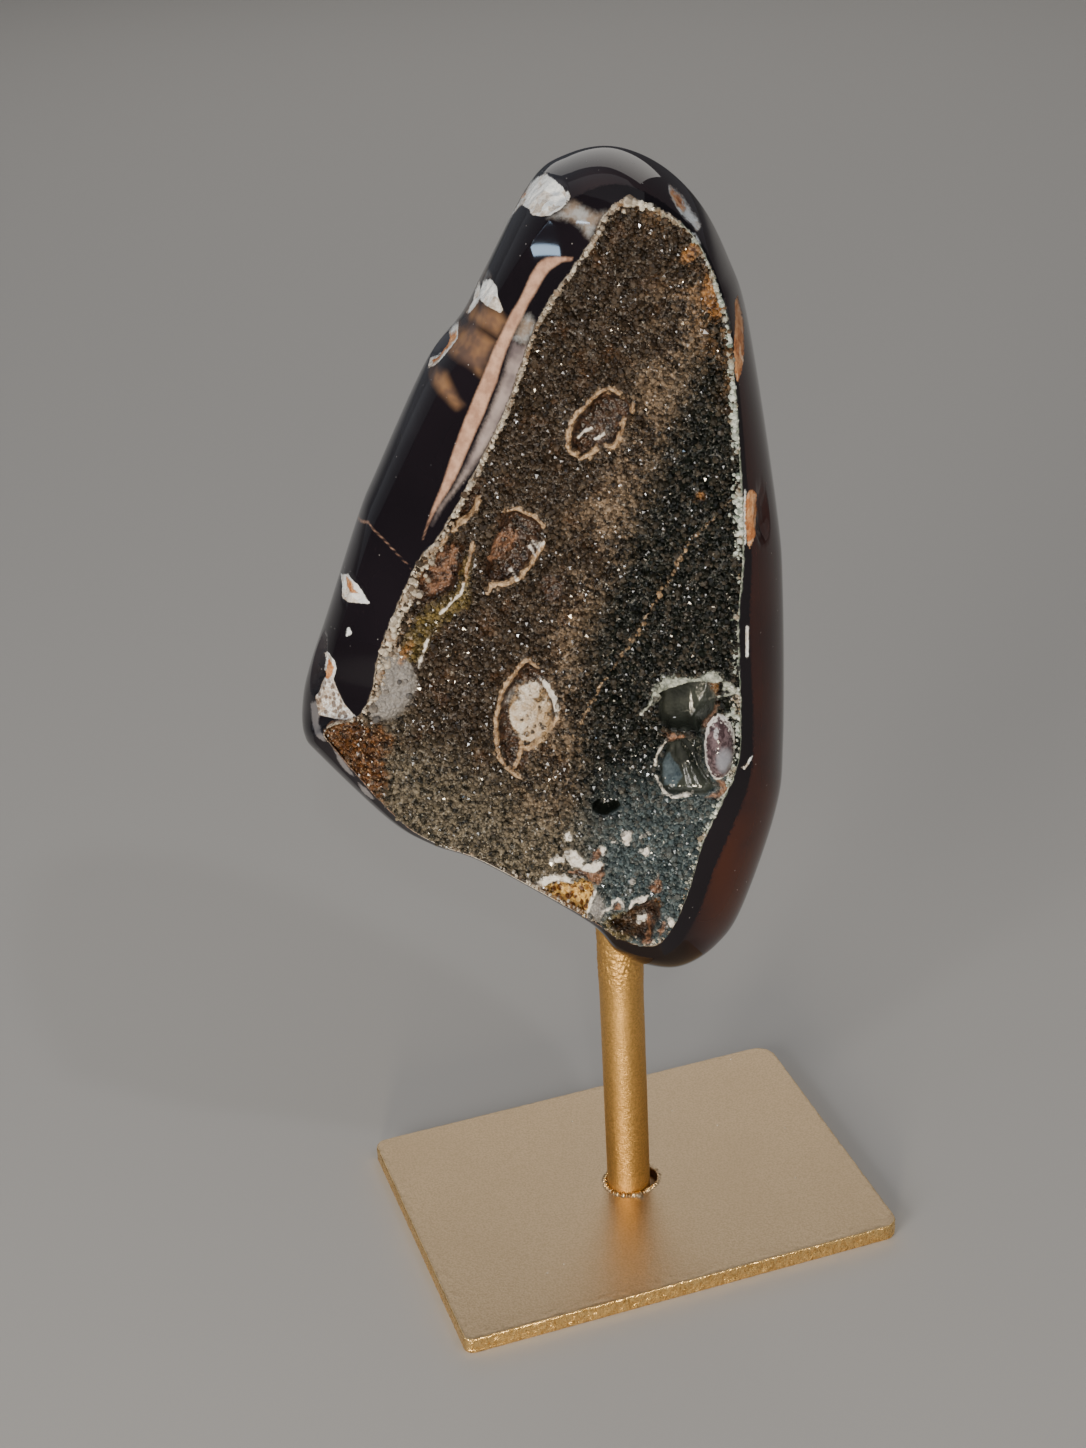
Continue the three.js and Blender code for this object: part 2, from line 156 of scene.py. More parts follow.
def inside(points, outline):
    """Whether each point lies inside a closed outline."""
    outline = np.asarray(outline, float)
    hits = np.zeros(len(points), bool)
    for a, b in zip(outline, np.roll(outline, -1, axis=0)):
        crosses = (a[1] > points[:, 1]) != (b[1] > points[:, 1])
        if a[1] != b[1]:
            reach = a[0] + (points[:, 1] - a[1]) * (b[0] - a[0]) / (b[1] - a[1])
            hits ^= crosses & (points[:, 0] < reach)
    return hits


def depth_in(points, outline):
    """Distance from a closed outline, positive inside it and negative outside."""
    away = to_line(points, [*outline, outline[0]])
    return np.where(inside(points, outline), away, -away)


def ripple(points, size, octaves=3):
    """Smooth noise between about -1 and 1 whose lumps are about size millimetres across."""
    return np.array([noise.fractal(Vector(p) / size, 1.0, 2.0, octaves) for p in points])


print("a point 2 mm off a line measures", to_line(np.array([[5.0, 2.0]]), [(0, 0), (10, 0)])[0])

# %% [markdown]
# ## Wrapping a sphere
# The stone, the plate and the post are all closed round forms. Each starts as a UV sphere, whose
# points are then moved: their bearing becomes the way round the piece, and their distance from the
# pole becomes the way along its profile. The sphere has no seam and no open edge, so neither has
# the piece.

# %% Helpers that read, write and finish meshes
def as_mesh(bm, name):
    """Closes a bmesh and keeps its shape as a mesh."""
    mesh = bpy.data.meshes.new(name)
    bm.to_mesh(mesh)
    bm.free()
    return mesh


def coordinates(mesh, kind="co"):
    """A row of three numbers for each point: its place, or its normal where kind is "normal"."""
    flat = np.empty(len(mesh.vertices) * 3)
    mesh.vertices.foreach_get(kind, flat)
    return flat.reshape(-1, 3)


def set_coordinates(mesh, points):
    mesh.vertices.foreach_set("co", np.ascontiguousarray(points, float).ravel())
    mesh.update()


def wrapped(around, rows, place):
    """A sphere whose points go where place(t, p) says: t is once round, p runs from pole to pole."""
    bm = bmesh.new()
    bmesh.ops.create_uvsphere(bm, u_segments=around, v_segments=rows, radius=1)
    mesh = as_mesh(bm, "wrapped")
    x, y, z = coordinates(mesh).T
    t = np.mod(np.arctan2(y, x) / (2 * math.pi), 1)
    p = np.arccos(np.clip(z, -1, 1)) / math.pi
    set_coordinates(mesh, place(t, p))
    return mesh, t, p


def along_stations(t, p, stations):
    """Points between neighbouring stations of a profile, each a share of the way and a ring."""
    points = np.zeros((len(t), 3))
    for (low, ring), (high, next_ring) in zip(stations[:-1], stations[1:]):
        here = (p >= low - 1e-9) & (p <= high + 1e-9)
        share = ((p[here] - low) / (high - low))[:, None]
        points[here] = ring(t[here]) * (1 - share) + next_ring(t[here]) * share
    return points


print("a point of a piece is placed by its bearing and by its way from the pole")


# %% Helpers that mark and finish a piece
def note(mesh, name, values):
    """Stores one number for each point, for a material to read."""
    mesh.attributes.new(name, "FLOAT", "POINT").data.foreach_set("value", np.asarray(values, np.float32))


def finish_piece(mesh, name, material, replaced=None, smooth=True, matrix=None):
    """Turns millimetres into metres in the object's frame and hands the piece over."""
    mesh.transform(Matrix.Scale(MM, 4) @ (matrix or Matrix()))
    if replaced:
        bm = bmesh.new()
        bm.from_mesh(mesh)
        bmesh.ops.recalc_face_normals(bm, faces=bm.faces)
        bm.to_mesh(mesh)
        bm.free()
    mesh.polygons.foreach_set("use_smooth", np.full(len(mesh.polygons), smooth))
    mesh.name = name
    piece = bpy.data.objects.new(name, mesh)
    bpy.context.scene.collection.objects.link(piece)
    mesh.materials.append(material)
    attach(piece, "root")
    if replaced:
        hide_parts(replaced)
    faces = sum(len(f.vertices) - 2 for f in mesh.polygons)
    print(f"{name}: {faces} triangles")


print("pieces are finished by one function, which hands them to the frame")


# %% [markdown]
# ## Shader sums as Python
# A material is a graph of nodes, but a formula is easier to read as a formula. The class below wraps
# a socket, so that adding or multiplying two of them adds the Math node for it.

# %% A small language for materials
class Value:
    def __init__(self, graph, socket):
        self.graph = graph
        self.socket = socket

    def math(self, operation, *others):
        inputs = dict(enumerate([self, *others]))
        return self.graph.add("ShaderNodeMath", {"operation": operation}, inputs)

    def __add__(self, other):
        return self.math("ADD", other)

    def __radd__(self, other):
        return self.math("ADD", other)

    def __sub__(self, other):
        return self.math("SUBTRACT", other)

    def __rsub__(self, other):
        return (self * -1) + other

    def __mul__(self, other):
        return self.math("MULTIPLY", other)

    def __rmul__(self, other):
        return self.math("MULTIPLY", other)

    def __truediv__(self, other):
        return self.math("DIVIDE", other)

    def __pow__(self, other):
        return self.math("POWER", other)

    def max(self, other):
        return self.math("MAXIMUM", other)

    def sine(self):
        return self.math("SINE")

    def rise(self, start, end):
        """0 below start, 1 above end, and smooth between; start may be the larger."""
        low, high = (0.0, 1.0) if start < end else (1.0, 0.0)
        inputs = {0: self, 1: min(start, end), 2: max(start, end), 3: low, 4: high}
        return self.graph.add("ShaderNodeMapRange", {"interpolation_type": "SMOOTHSTEP"}, inputs)


print("a value knows", len([name for name in vars(Value) if not name.endswith("_")]), "named operations")


# %% A material and its place on the face
class Finish:
    """A material with a Principled shader and the place of each point on the crystal face."""

    def __init__(self, name, **constants):
        self.material = bpy.data.materials.new(name)
        self.material.use_nodes = True
        self.tree = self.material.node_tree
        self.shader = next(n for n in self.tree.nodes if n.type == "BSDF_PRINCIPLED")
        for socket, value in constants.items():
            self.shader.inputs[socket.replace("_", " ")].default_value = value
        self.place = self.add("ShaderNodeTexCoord", out="Object")

    def add(self, kind, settings=None, inputs=None, out=0):
        node = self.tree.nodes.new(kind)
        for name, value in (settings or {}).items():
            if name == "stops":
                self.set_stops(node.color_ramp, value)
            else:
                setattr(node, name, value)
        for name, value in (inputs or {}).items():
            self.put(node.inputs[name], value)
        return Value(self, node.outputs[out])

    def put(self, socket, value):
        if isinstance(value, Value):
            self.tree.links.new(value.socket, socket)
        else:
            socket.default_value = value

    def set_stops(self, ramp, stops):
        for end in (0, -1):
            ramp.elements[end].position = stops[end][0]
            ramp.elements[end].color = (*stops[end][1], 1)
        for position, colour in stops[1:-1]:
            ramp.elements.new(position).color = (*colour, 1)

    def attribute(self, name):
        return self.add("ShaderNodeAttribute", {"attribute_name": name}, out="Fac")

    def mix(self, factor, first, second):
        first = (*first, 1) if isinstance(first, tuple) else first
        second = (*second, 1) if isinstance(second, tuple) else second
        return self.add("ShaderNodeMix", {"data_type": "RGBA"}, {0: factor, 6: first, 7: second}, out=2)

    def on_face(self):
        """Across, up and out on the crystal face, in millimetres, and the three as one vector."""
        away = self.vector_math("SUBTRACT", self.place, FACE_ORIGIN * MM)
        parts = [self.vector_math("DOT_PRODUCT", away, axis / MM, "Value") for axis in (ACROSS, UP, OUT)]
        return *parts, self.add("ShaderNodeCombineXYZ", None, dict(enumerate(parts)))

    def in_mm(self, stretch=(1, 1, 1)):
        return self.vector_math("MULTIPLY", self.place, Vector(stretch) / MM)

    def vector_math(self, operation, first, second, out="Vector"):
        inputs = {0: first, 1: tuple(second)}
        return self.add("ShaderNodeVectorMath", {"operation": operation}, inputs, out)

    def noise(self, vector, scale, detail=2.0, rough=0.5, twist=0.0):
        inputs = {"Vector": vector, "Scale": scale, "Detail": detail, "Roughness": rough, "Distortion": twist}
        return self.add("ShaderNodeTexNoise", None, inputs)

    def cells(self, vector, scale, feature="F1", out="Distance"):
        inputs = {"Vector": vector, "Scale": scale}
        return self.add("ShaderNodeTexVoronoi", {"feature": feature}, inputs, out=out)

    def bump(self, height, strength, distance):
        inputs = {"Height": height, "Strength": strength, "Distance": distance}
        self.put(self.shader.inputs["Normal"], self.add("ShaderNodeBump", None, inputs))

    def feed(self, **values):
        for socket, value in values.items():
            self.put(self.shader.inputs[socket.replace("_", " ")], value)


print("materials can be written as sums")

# %% [markdown]
# ## The finish of the polished agate
# Polished chalcedony is clear for a millimetre or two and dark below. Here it is near black beside
# the crystals, plum brown on the right flank and smoky along the left, with a peach vein, a few
# milky clouds, white chips with rusty hearts, and a crisp black band round the right of the face.
# The stone's mesh carries the distances to those shapes, and the finish turns them into colour.

# %% Body of the agate
def dark_body(f, face, fine, broad):
    """Near black beside the face, plum at the right, smoky at the left and banded behind."""
    across, up, out, place = face
    band = f.attribute("in_band")
    deep = f.mix(f.noise(place, 0.03, 2, 0.5), (0.0035, 0.003, 0.0045), (0.014, 0.0105, 0.0145))
    plum = f.mix(up.rise(10, 120), (0.052, 0.0165, 0.0095), (0.032, 0.0125, 0.0125))
    plum = f.mix((broad * 2 + 0.5).rise(0.2, 0.9), plum, (0.028, 0.012, 0.012))
    plum = f.mix((up + broad * 30).rise(120, 158), plum, (0.034, 0.023, 0.027))
    right = (across + up * 0.12 + broad * 10).rise(12, 24)
    body = f.mix(right * (band + fine * 0.12).rise(0.98, 1.04), deep, plum)

    smoke = f.mix((up + broad * 40).rise(30, 130), (0.036, 0.028, 0.03), (0.062, 0.066, 0.08))
    left = across.rise(14, -8) * (band + broad * 0.4).rise(1.0, 1.9)
    body = f.mix(left * 0.85, body, smoke)

    depth = out + f.noise(place, 0.03, 3, 0.5) * 14
    layers = (depth * 0.62).sine() * 0.5 + 0.5
    thin_layers = (depth * 3.9).sine() * 0.5 + 0.5
    behind = out.rise(-19, -27)
    striped = f.mix(layers.rise(0.5, 0.98) * 0.8, (0.019, 0.014, 0.017), (0.13, 0.075, 0.055))
    striped = f.mix(thin_layers.rise(0.6, 0.95) * layers.rise(0.3, 0.6) * 0.35, striped, (0.2, 0.16, 0.15))
    striped = f.mix(f.noise(place, 0.07, 2, 0.5).rise(0.55, 0.72) * 0.6, striped, (0.05, 0.047, 0.055))
    return f.mix(behind * 0.75, body, striped)


def with_clouds(f, body, place, fine, broad):
    """The milky clouds, tan patches, grey glassy chips and the peach vein."""
    lilac = f.mix(f.noise(place, 0.16, 3, 0.55).rise(0.35, 0.65), (0.19, 0.155, 0.16), (0.46, 0.38, 0.36))
    body = f.mix((f.attribute("lilac") + fine * 0.8).rise(-0.6, 0.9) * 0.85, body, lilac)
    tan = f.mix(f.noise(place, 0.25, 2, 0.5).rise(0.35, 0.65), (0.34, 0.19, 0.1), (0.15, 0.095, 0.075))
    body = f.mix((f.attribute("cloud") + broad * 2).rise(-1.0, 1.5) * 0.75, body, tan)
    milk = f.mix((f.noise(place, 0.4, 3, 0.6)).rise(0.35, 0.65), (0.3, 0.23, 0.18), (0.42, 0.43, 0.44))
    body = f.mix((f.attribute("milky") + fine).rise(-0.6, 1.4) * 0.85, body, milk)
    body = f.mix((f.attribute("grey") + fine).rise(-0.3, 0.3) * 0.8, body, (0.2, 0.19, 0.2))
    peach = f.mix(f.noise(place, 0.5, 3, 0.6).rise(0.3, 0.7), (0.44, 0.25, 0.175), (0.68, 0.42, 0.3))
    return f.mix((f.attribute("vein") + fine * 0.3).rise(-0.15, 0.5) * 0.95, body, peach)


print("the body and its clouds are mixed from plain colours")

# %% Chips and the broken edge
def with_chips(f, body, across, up, place, fine):
    """White chips with rusty hearts, shaded facet by facet and with a bluish white that is partly painted
    reflection, and a porous tongue at the left corner.
    """
    chip = (f.attribute("chip") + fine * 0.5).rise(-0.1, 0.1)
    # Painted shade: each facet of a chip and of its rusty heart gets a brightness of its own from the cells,
    # standing in for facets turned to the light; the lightest, bluish whites are partly painted reflection.
    facets = f.cells(place, 0.42, out="Color")
    shade = f.noise(place, 0.5, 3, 0.6) * 0.6 + f.add("ShaderNodeSeparateColor", None, {0: facets}) * 0.4
    shaded_chip_white = f.add("ShaderNodeValToRGB", {"stops": [
        (0.26, (0.5, 0.42, 0.35)), (0.37, (0.86, 0.81, 0.75)),
        (0.45, (0.94, 0.95, 0.96)), (0.7, (0.94, 0.98, 1.0)),
    ]}, {0: shade})
    on_tongue = across.rise(-50, -52) * up.rise(71, 67)
    shaded_chip_white = f.mix(on_tongue * (fine * 1.6 + 0.5).rise(0.3, 0.7) * 0.8, shaded_chip_white, (0.36, 0.25, 0.17))
    pores = (f.cells(place, 0.85) + fine * 0.3).rise(0.5, 0.34) * on_tongue
    shaded_chip_white = f.mix(pores * 0.85, shaded_chip_white, (0.13, 0.085, 0.06))
    body = f.mix(chip, body, shaded_chip_white)
    heart = (f.attribute("rust") + fine * 0.9).rise(-0.1, 0.15)
    rust = f.add("ShaderNodeValToRGB", {"stops": [
        (0.25, (0.13, 0.035, 0.01)), (0.42, (0.52, 0.19, 0.065)),
        (0.56, (0.78, 0.4, 0.19)), (0.72, (0.9, 0.75, 0.6)),
    ]}, {0: f.noise(place, 1.1, 4, 0.7, 0.8) * 0.5 + shade * 0.5 + 0.02})
    return f.mix(heart, body, rust), chip, heart, shade


def with_lip(f, body, across, up, place, fine):
    """The thin broken lip between the polish and the crystals, and its colour."""
    ragged = fine + f.noise(place, 0.5, 2, 0.5) - 0.5
    lip = (f.attribute("from_edge") + ragged).rise(0.62, 0.36)
    cream = f.mix((fine + 0.5).rise(0.42, 0.66), (0.12, 0.09, 0.065), (0.62, 0.55, 0.45))
    low_left = up.rise(60, 54) * across.rise(2, -4)
    brown = f.mix((fine + 0.5).rise(0.4, 0.62), (0.09, 0.05, 0.035), (0.5, 0.3, 0.2))
    cream = f.mix(low_left * 0.85, cream, brown)
    bright_edge = low_left * across.rise(-42, -36) * across.rise(-6, -14)
    peach = f.mix((fine + 0.5).rise(0.35, 0.5), (0.5, 0.36, 0.27), (0.9, 0.8, 0.68))
    cream = f.mix(bright_edge, cream, peach)
    green = f.mix((fine + 0.5).rise(0.4, 0.62), (0.12, 0.15, 0.12), (0.6, 0.64, 0.56))
    return f.mix(lip, body, f.mix(across.rise(8, 20), cream, green)), lip


def agate_finish():
    f = Finish("agate_polish", IOR=1.545, Specular_IOR_Level=0.25)
    face = f.on_face()
    across, up, _, place = face
    fine = f.noise(place, 1.6, 4, 0.6) - 0.5
    broad = f.noise(place, 0.055, 3, 0.5) - 0.5
    body = dark_body(f, face, fine, broad)
    body = with_clouds(f, body, place, fine, broad)
    body, chip, heart, shade = with_chips(f, body, across, up, place, fine)
    body, lip = with_lip(f, body, across, up, place, fine)
    pinholes = f.cells(place, 0.42).rise(0.06, 0.045) * f.noise(place, 0.12, 1, 0.5).rise(0.4, 0.5)
    body = f.mix(pinholes * 0.7, body, (0.42, 0.4, 0.4))
    dull = (chip * 0.16).max(heart * 0.42).max(lip * 0.3).max(pinholes * 0.3)
    f.feed(Base_Color=body, Roughness=dull + 0.022)
    f.bump((fine + shade * 1.5) * (chip + heart + lip) + pinholes * -0.3, 0.8, 0.0004)
    return f.material


agate = agate_finish()
print("agate uses", len(agate.node_tree.nodes), "nodes")

# %% [markdown]
# ## The finish of the crystal face
# The druse is thousands of glassy points over stained ground. Its colour runs in broad drifts:
# brown at the upper left, a tan seam down the middle, green-black on the right, slate blue towards
# the bottom, rust at the left corner. The same drifts colour the ground and the crystals on it.

# %% Colour drifts on the face
def grainy(f, speck, dark, light, low=0.3, high=0.7):
    """Two shades of one colour, which change from grain to grain."""
    return f.mix((speck + 0.5).rise(low, high), dark, light)


def drift(f, across, up, place):
    """The broad stains of the crystal face, from brown through tan to green-black and slate."""
    warp = f.noise(place, 0.09, 4, 0.6) - 0.5
    speck = f.noise(place, 0.75, 3, 0.65) - 0.5
    seam = across - (up - 77) * 0.1 - (up - 77).max(0) * 0.295 + 10.5 + warp * 17
    brown = grainy(f, speck, (0.015, 0.0095, 0.0055), (0.052, 0.034, 0.021))
    brown = f.mix(f.noise(place, 0.16, 3, 0.6).rise(0.55, 0.72) * 0.65, brown, (0.088, 0.042, 0.018))
    dark = grainy(f, speck, (0.0016, 0.0026, 0.0017), (0.0105, 0.0138, 0.0098), 0.35, 0.75)
    tan = grainy(f, speck, (0.075, 0.052, 0.034), (0.33, 0.235, 0.155))
    colour = f.mix(seam.rise(0, 9), brown, dark)
    in_seam = seam.rise(-9, 1) * seam.rise(12, 3) * up.rise(12, 36)
    colour = f.mix(in_seam * (speck + warp * 1.6 + 0.5).rise(0.34, 0.74) * 0.85, colour, tan)
    olive = grainy(f, speck, (0.012, 0.0135, 0.01), (0.25, 0.21, 0.15), 0.36, 0.66)
    low = (up + across * 0.5 + warp * 22).rise(48, 22) * across.rise(4, -10)
    colour = f.mix(low * 0.85, colour, olive)
    slate = grainy(f, speck, (0.02, 0.033, 0.038), (0.115, 0.155, 0.17))
    bottom = (up - across * 0.3 + warp * 18).rise(56, 30) * across.rise(-12, 2)
    colour = f.mix(bottom * 0.9, colour, slate)
    amber = grainy(f, speck, (0.09, 0.038, 0.012), (0.28, 0.145, 0.055))
    top_right = (across + (up - 140) * 0.4 + warp * 10).rise(15, 24) * up.rise(116, 130)
    colour = f.mix(top_right * (speck + warp * 1.5 + 0.5).rise(0.35, 0.75) * 0.75, colour, amber)
    corner = (f.attribute("limonite") + warp * 20 + speck * 5).rise(-2.5, 1.8)
    rust = grainy(f, speck, (0.026, 0.009, 0.003), (0.19, 0.078, 0.025), 0.35, 0.7)
    rust = f.mix(f.cells(place, 1.3).rise(0.3, 0.15) * 0.6, rust, (0.6, 0.42, 0.24))
    return f.mix(corner, colour, rust), speck, warp


print("the face's colour drifts between seven stains")

# %% Local marks on the face
HEART = (-15.6, 62)  # the pale nodule in the lowest ring


def stained(f, colour, speck, warp, across, up, place):
    """Local marks, from the distances that the mesh carries."""
    ragged = speck * 1.1

    def shades(dark, light, low=0.3, high=0.72):
        return grainy(f, speck, dark, light, low, high)

    def laid(colour, name, start, end, share, shade):
        return f.mix((f.attribute(name) + ragged).rise(start, end) * share, colour, shade)

    colour = laid(colour, "olive", -0.6, 0.8, 0.85, shades((0.035, 0.025, 0.007), (0.24, 0.175, 0.055)))
    # The floors of the pits, the faint pit and the bottom pocket are dark brown: partly their own colour and
    # partly painted shade, darkened further as the shade in these hollows would be.
    colour = laid(colour, "pit", -0.2, 0.7, 0.92, shades((0.0045, 0.002, 0.0012), (0.06, 0.025, 0.0095)))
    fibres = shades((0.03, 0.012, 0.006), (0.27, 0.135, 0.075), 0.35, 0.68)
    colour = laid(colour, "fibrous", -0.3, 0.5, 0.95, fibres)
    colour = laid(colour, "quartz", -0.6, 0.8, 0.9, shades((0.17, 0.16, 0.155), (0.25, 0.235, 0.225)))
    glass = f.mix(f.noise(place, 0.14, 2, 0.5).rise(0.3, 0.7), (0.006, 0.008, 0.0065), (0.055, 0.062, 0.052))
    colour = laid(colour, "cave", -0.1, 0.35, 1.0, glass)
    colour = laid(colour, "blue", -0.15, 0.35, 0.9, shades((0.035, 0.055, 0.075), (0.09, 0.125, 0.15)))
    ochre = shades((0.04, 0.013, 0.003), (0.42, 0.19, 0.05), 0.32, 0.72)
    colour = laid(colour, "ochre", -0.5, 0.7, 0.95, ochre)
    colour = laid(colour, "ring", -0.35, 0.1, 0.9, shades((0.16, 0.085, 0.035), (0.66, 0.46, 0.28)))
    spongy = (f.cells(place, 0.7) + speck * 0.5).rise(0.62, 0.35)
    gold = f.mix(spongy, (0.8, 0.53, 0.17), (0.1, 0.034, 0.006))
    gold = f.mix((speck + 0.5).rise(0.5, 0.7), gold, (0.6, 0.28, 0.06))
    colour = laid(colour, "gold", -0.3, 0.3, 1.0, gold)
    cream = shades((0.36, 0.27, 0.19), (0.86, 0.82, 0.76), 0.22, 0.55)
    lip = across.rise(4, 8) * up.rise(56, 62)
    cream = f.mix(lip, cream, shades((0.13, 0.15, 0.125), (0.5, 0.53, 0.46), 0.3, 0.7))
    colour = laid(colour, "pale", -0.3, 0.15, 1.0, cream)
    near_heart = ((across - HEART[0]) ** 2 + ((up - HEART[1]) * 0.6) ** 2).rise(22, 12)
    colour = f.mix(near_heart * (speck + warp + 0.5).rise(0.25, 0.62) * 0.85, colour, (0.4, 0.27, 0.14))
    some = near_heart * (warp + speck + 0.5).rise(0.42, 0.56)
    holes = (f.cells(place, 0.62) + speck * 0.9).rise(0.4, 0.28) * some
    return f.mix(holes * 0.95, colour, (0.022, 0.013, 0.006))


def face_colour(f):
    """The colour of the crystal face, the grain that it was mixed with, and the place in it."""
    across, up, _, place = f.on_face()
    colour, speck, warp = drift(f, across, up, place)
    return stained(f, colour, speck, warp, across, up, place), speck, place


print("the pale nodule lies at", HEART)


# %% Druse ground
def ground_finish():
    f = Finish("druse_ground", Roughness=0.32, IOR=1.54)
    colour, speck, place = face_colour(f)
    cave = f.attribute("cave")
    f.feed(Base_Color=colour, Roughness=(speck * 0.3 + 0.34) - cave.rise(-0.1, 0.5) * 0.24)
    points = f.cells(place, 1.5)
    grain = 1 - cave.rise(-0.2, 0.4) * 0.85
    f.bump((points * -1 + f.noise(place, 3.5, 2, 0.5) * 0.4) * grain, 0.8, 0.0004)
    return f.material


print("the ground's roughness falls in the pockets, which are glassy")


# %% Crystals
def crystal_finish():
    f = Finish("druse_crystals", IOR=1.55, Specular_IOR_Level=0.6)
    colour = face_colour(f)[0]
    tone = f.attribute("tone")
    colour = f.mix(tone.rise(0.45, 1.0) * 0.27, colour, (0.17, 0.135, 0.1))
    colour = f.mix(tone.rise(0.0, 0.5) * -0.5 + 0.5, colour, (0.006, 0.0055, 0.0045))
    f.feed(Base_Color=colour, Roughness=tone * 0.12 + 0.05)
    return f.material


def rim_finish():
    f = Finish("rim_crystals", Roughness=0.18, IOR=1.54)
    across, _, _, place = f.on_face()
    tone = f.attribute("tone")
    warm = f.mix(tone, (0.15, 0.11, 0.08), (0.74, 0.67, 0.56))
    cool = f.mix(tone, (0.16, 0.2, 0.17), (0.72, 0.76, 0.7))
    colour = f.mix(across.rise(6, 20), warm, cool)
    stain = f.noise(place, 0.22, 3, 0.6).rise(0.5, 0.62)
    colour = f.mix(stain * 0.65, colour, (0.2, 0.11, 0.045))
    f.feed(Base_Color=colour)
    return f.material


druse_ground = ground_finish()
druse_points = crystal_finish()
rim_points = rim_finish()
print("druse ground uses", len(druse_ground.node_tree.nodes), "nodes")

# %% [markdown]
# ## The polished stone
# The profile of each rib runs from the middle of the crystal bed's seat, up its wall to the edge of
# the face, over the flat ground band, round the shoulder to the widest line and on to the middle of
# the back. Small bites in the skin are where the saw or the wheel opened a natural hollow.

# %% Shape of the stone
SHOULDER_START = math.radians(35)
BACK_CENTRE = np.array([-12, 84])
BACK_FULLNESS = 0.72
BACK_SMOOTHING = 0.07
SEAT_DEPTH = 11.0
SEAT_INSET = 0.6
SEAT_CENTRE = np.array([-8.0, 84.0])
STONE_SHRINK = 0.12
SEAT_END, WALL_END, BAND_END, SHOULDER_END = 0.05, 0.08, 0.32, 0.64


def ring_points(xy, w):
    return np.column_stack([xy, np.broadcast_to(w, len(xy))])


def seat_ring(t):
    return rib_at(t)[:, :2] + SEAT_INSET * inward_at(t)


def shoulder_ring(t, place):
    rib = rib_at(t)
    turn = SHOULDER_START + (math.pi / 2 - SHOULDER_START) * place
    outward = (np.sin(turn) - math.sin(SHOULDER_START)) / (1 - math.sin(SHOULDER_START))
    inward = (math.cos(SHOULDER_START) - np.cos(turn)) / math.cos(SHOULDER_START)
    share = (rib[:, 4] + (1 - rib[:, 4]) * outward)[:, None]
    xy = rib[:, :2] * (1 - share) + rib[:, 2:4] * share
    return ring_points(xy, -rib[:, 5] - (WIDEST_DEPTH - rib[:, 5]) * inward)


def back_ring(t, place):
    turn = place * math.pi / 2
    keep = (np.cos(turn) ** BACK_FULLNESS)[:, None]
    spread = BACK_SMOOTHING * np.sin(turn)
    wide = sum(rib_at(t + k * spread)[:, 2:4] for k in (-1, -0.5, 0, 0.5, 1)) / 5
    xy = BACK_CENTRE * (1 - keep) + wide * keep
    return ring_points(xy, -WIDEST_DEPTH - (STONE_THICKNESS - WIDEST_DEPTH) * np.sin(turn))


print("a rib's shoulder starts", round(math.degrees(SHOULDER_START)), "degrees from the face")


# %% Every point of the stone
def place_on_stone(t, p):
    points = np.zeros((len(t), 3))
    seat = p <= SEAT_END
    share = (p[seat] / SEAT_END)[:, None]
    points[seat] = ring_points(SEAT_CENTRE * (1 - share) + seat_ring(t[seat]) * share, -SEAT_DEPTH)
    wall = (p > SEAT_END) & (p <= WALL_END)
    share = (p[wall] - SEAT_END) / (WALL_END - SEAT_END)
    xy = seat_ring(t[wall]) * (1 - share[:, None]) + rib_at(t[wall])[:, :2] * share[:, None]
    points[wall] = ring_points(xy, SEAT_DEPTH * (share - 1))
    band = (p > WALL_END) & (p <= BAND_END)
    share = ((p[band] - WALL_END) / (BAND_END - WALL_END))[:, None]
    rim = ring_points(rib_at(t[band])[:, :2], 0)
    points[band] = rim * (1 - share) + shoulder_ring(t[band], np.zeros(band.sum())) * share
    shoulder = (p > BAND_END) & (p <= SHOULDER_END)
    points[shoulder] = shoulder_ring(t[shoulder], (p[shoulder] - BAND_END) / (SHOULDER_END - BAND_END))
    back = p > SHOULDER_END
    points[back] = back_ring(t[back], (p[back] - SHOULDER_END) / (1 - SHOULDER_END))
    return points


print("the stone is", STONE_THICKNESS, "mm thick behind its face")

# %% Bites in the polished skin
BITES = [  # across, up, out, three half sizes, turn in degrees, depth
    (-32.0, 136.0, -15.0, 3.2, 5.6, 6.0, -30, 2.4),
    (-8.8, 165.6, -5.0, 4.8, 3.6, 6.0, -20, 1.5),
    (-59.0, 71.0, -9.0, 2.3, 7.0, 6.0, -8, 2.0),
    (31.0, 101.0, -5.0, 2.0, 5.6, 5.0, 6, 1.1),
    (27.9, 137.6, -3.0, 1.2, 6.0, 4.0, 8, 0.5),
    (18.2, 161.6, -5.0, 2.6, 3.6, 5.0, 30, 0.5),
]
CHIP_DEPTH = 0.3
print(len(BITES), "bites, the deepest", max(bite[-1] for bite in BITES), "mm")

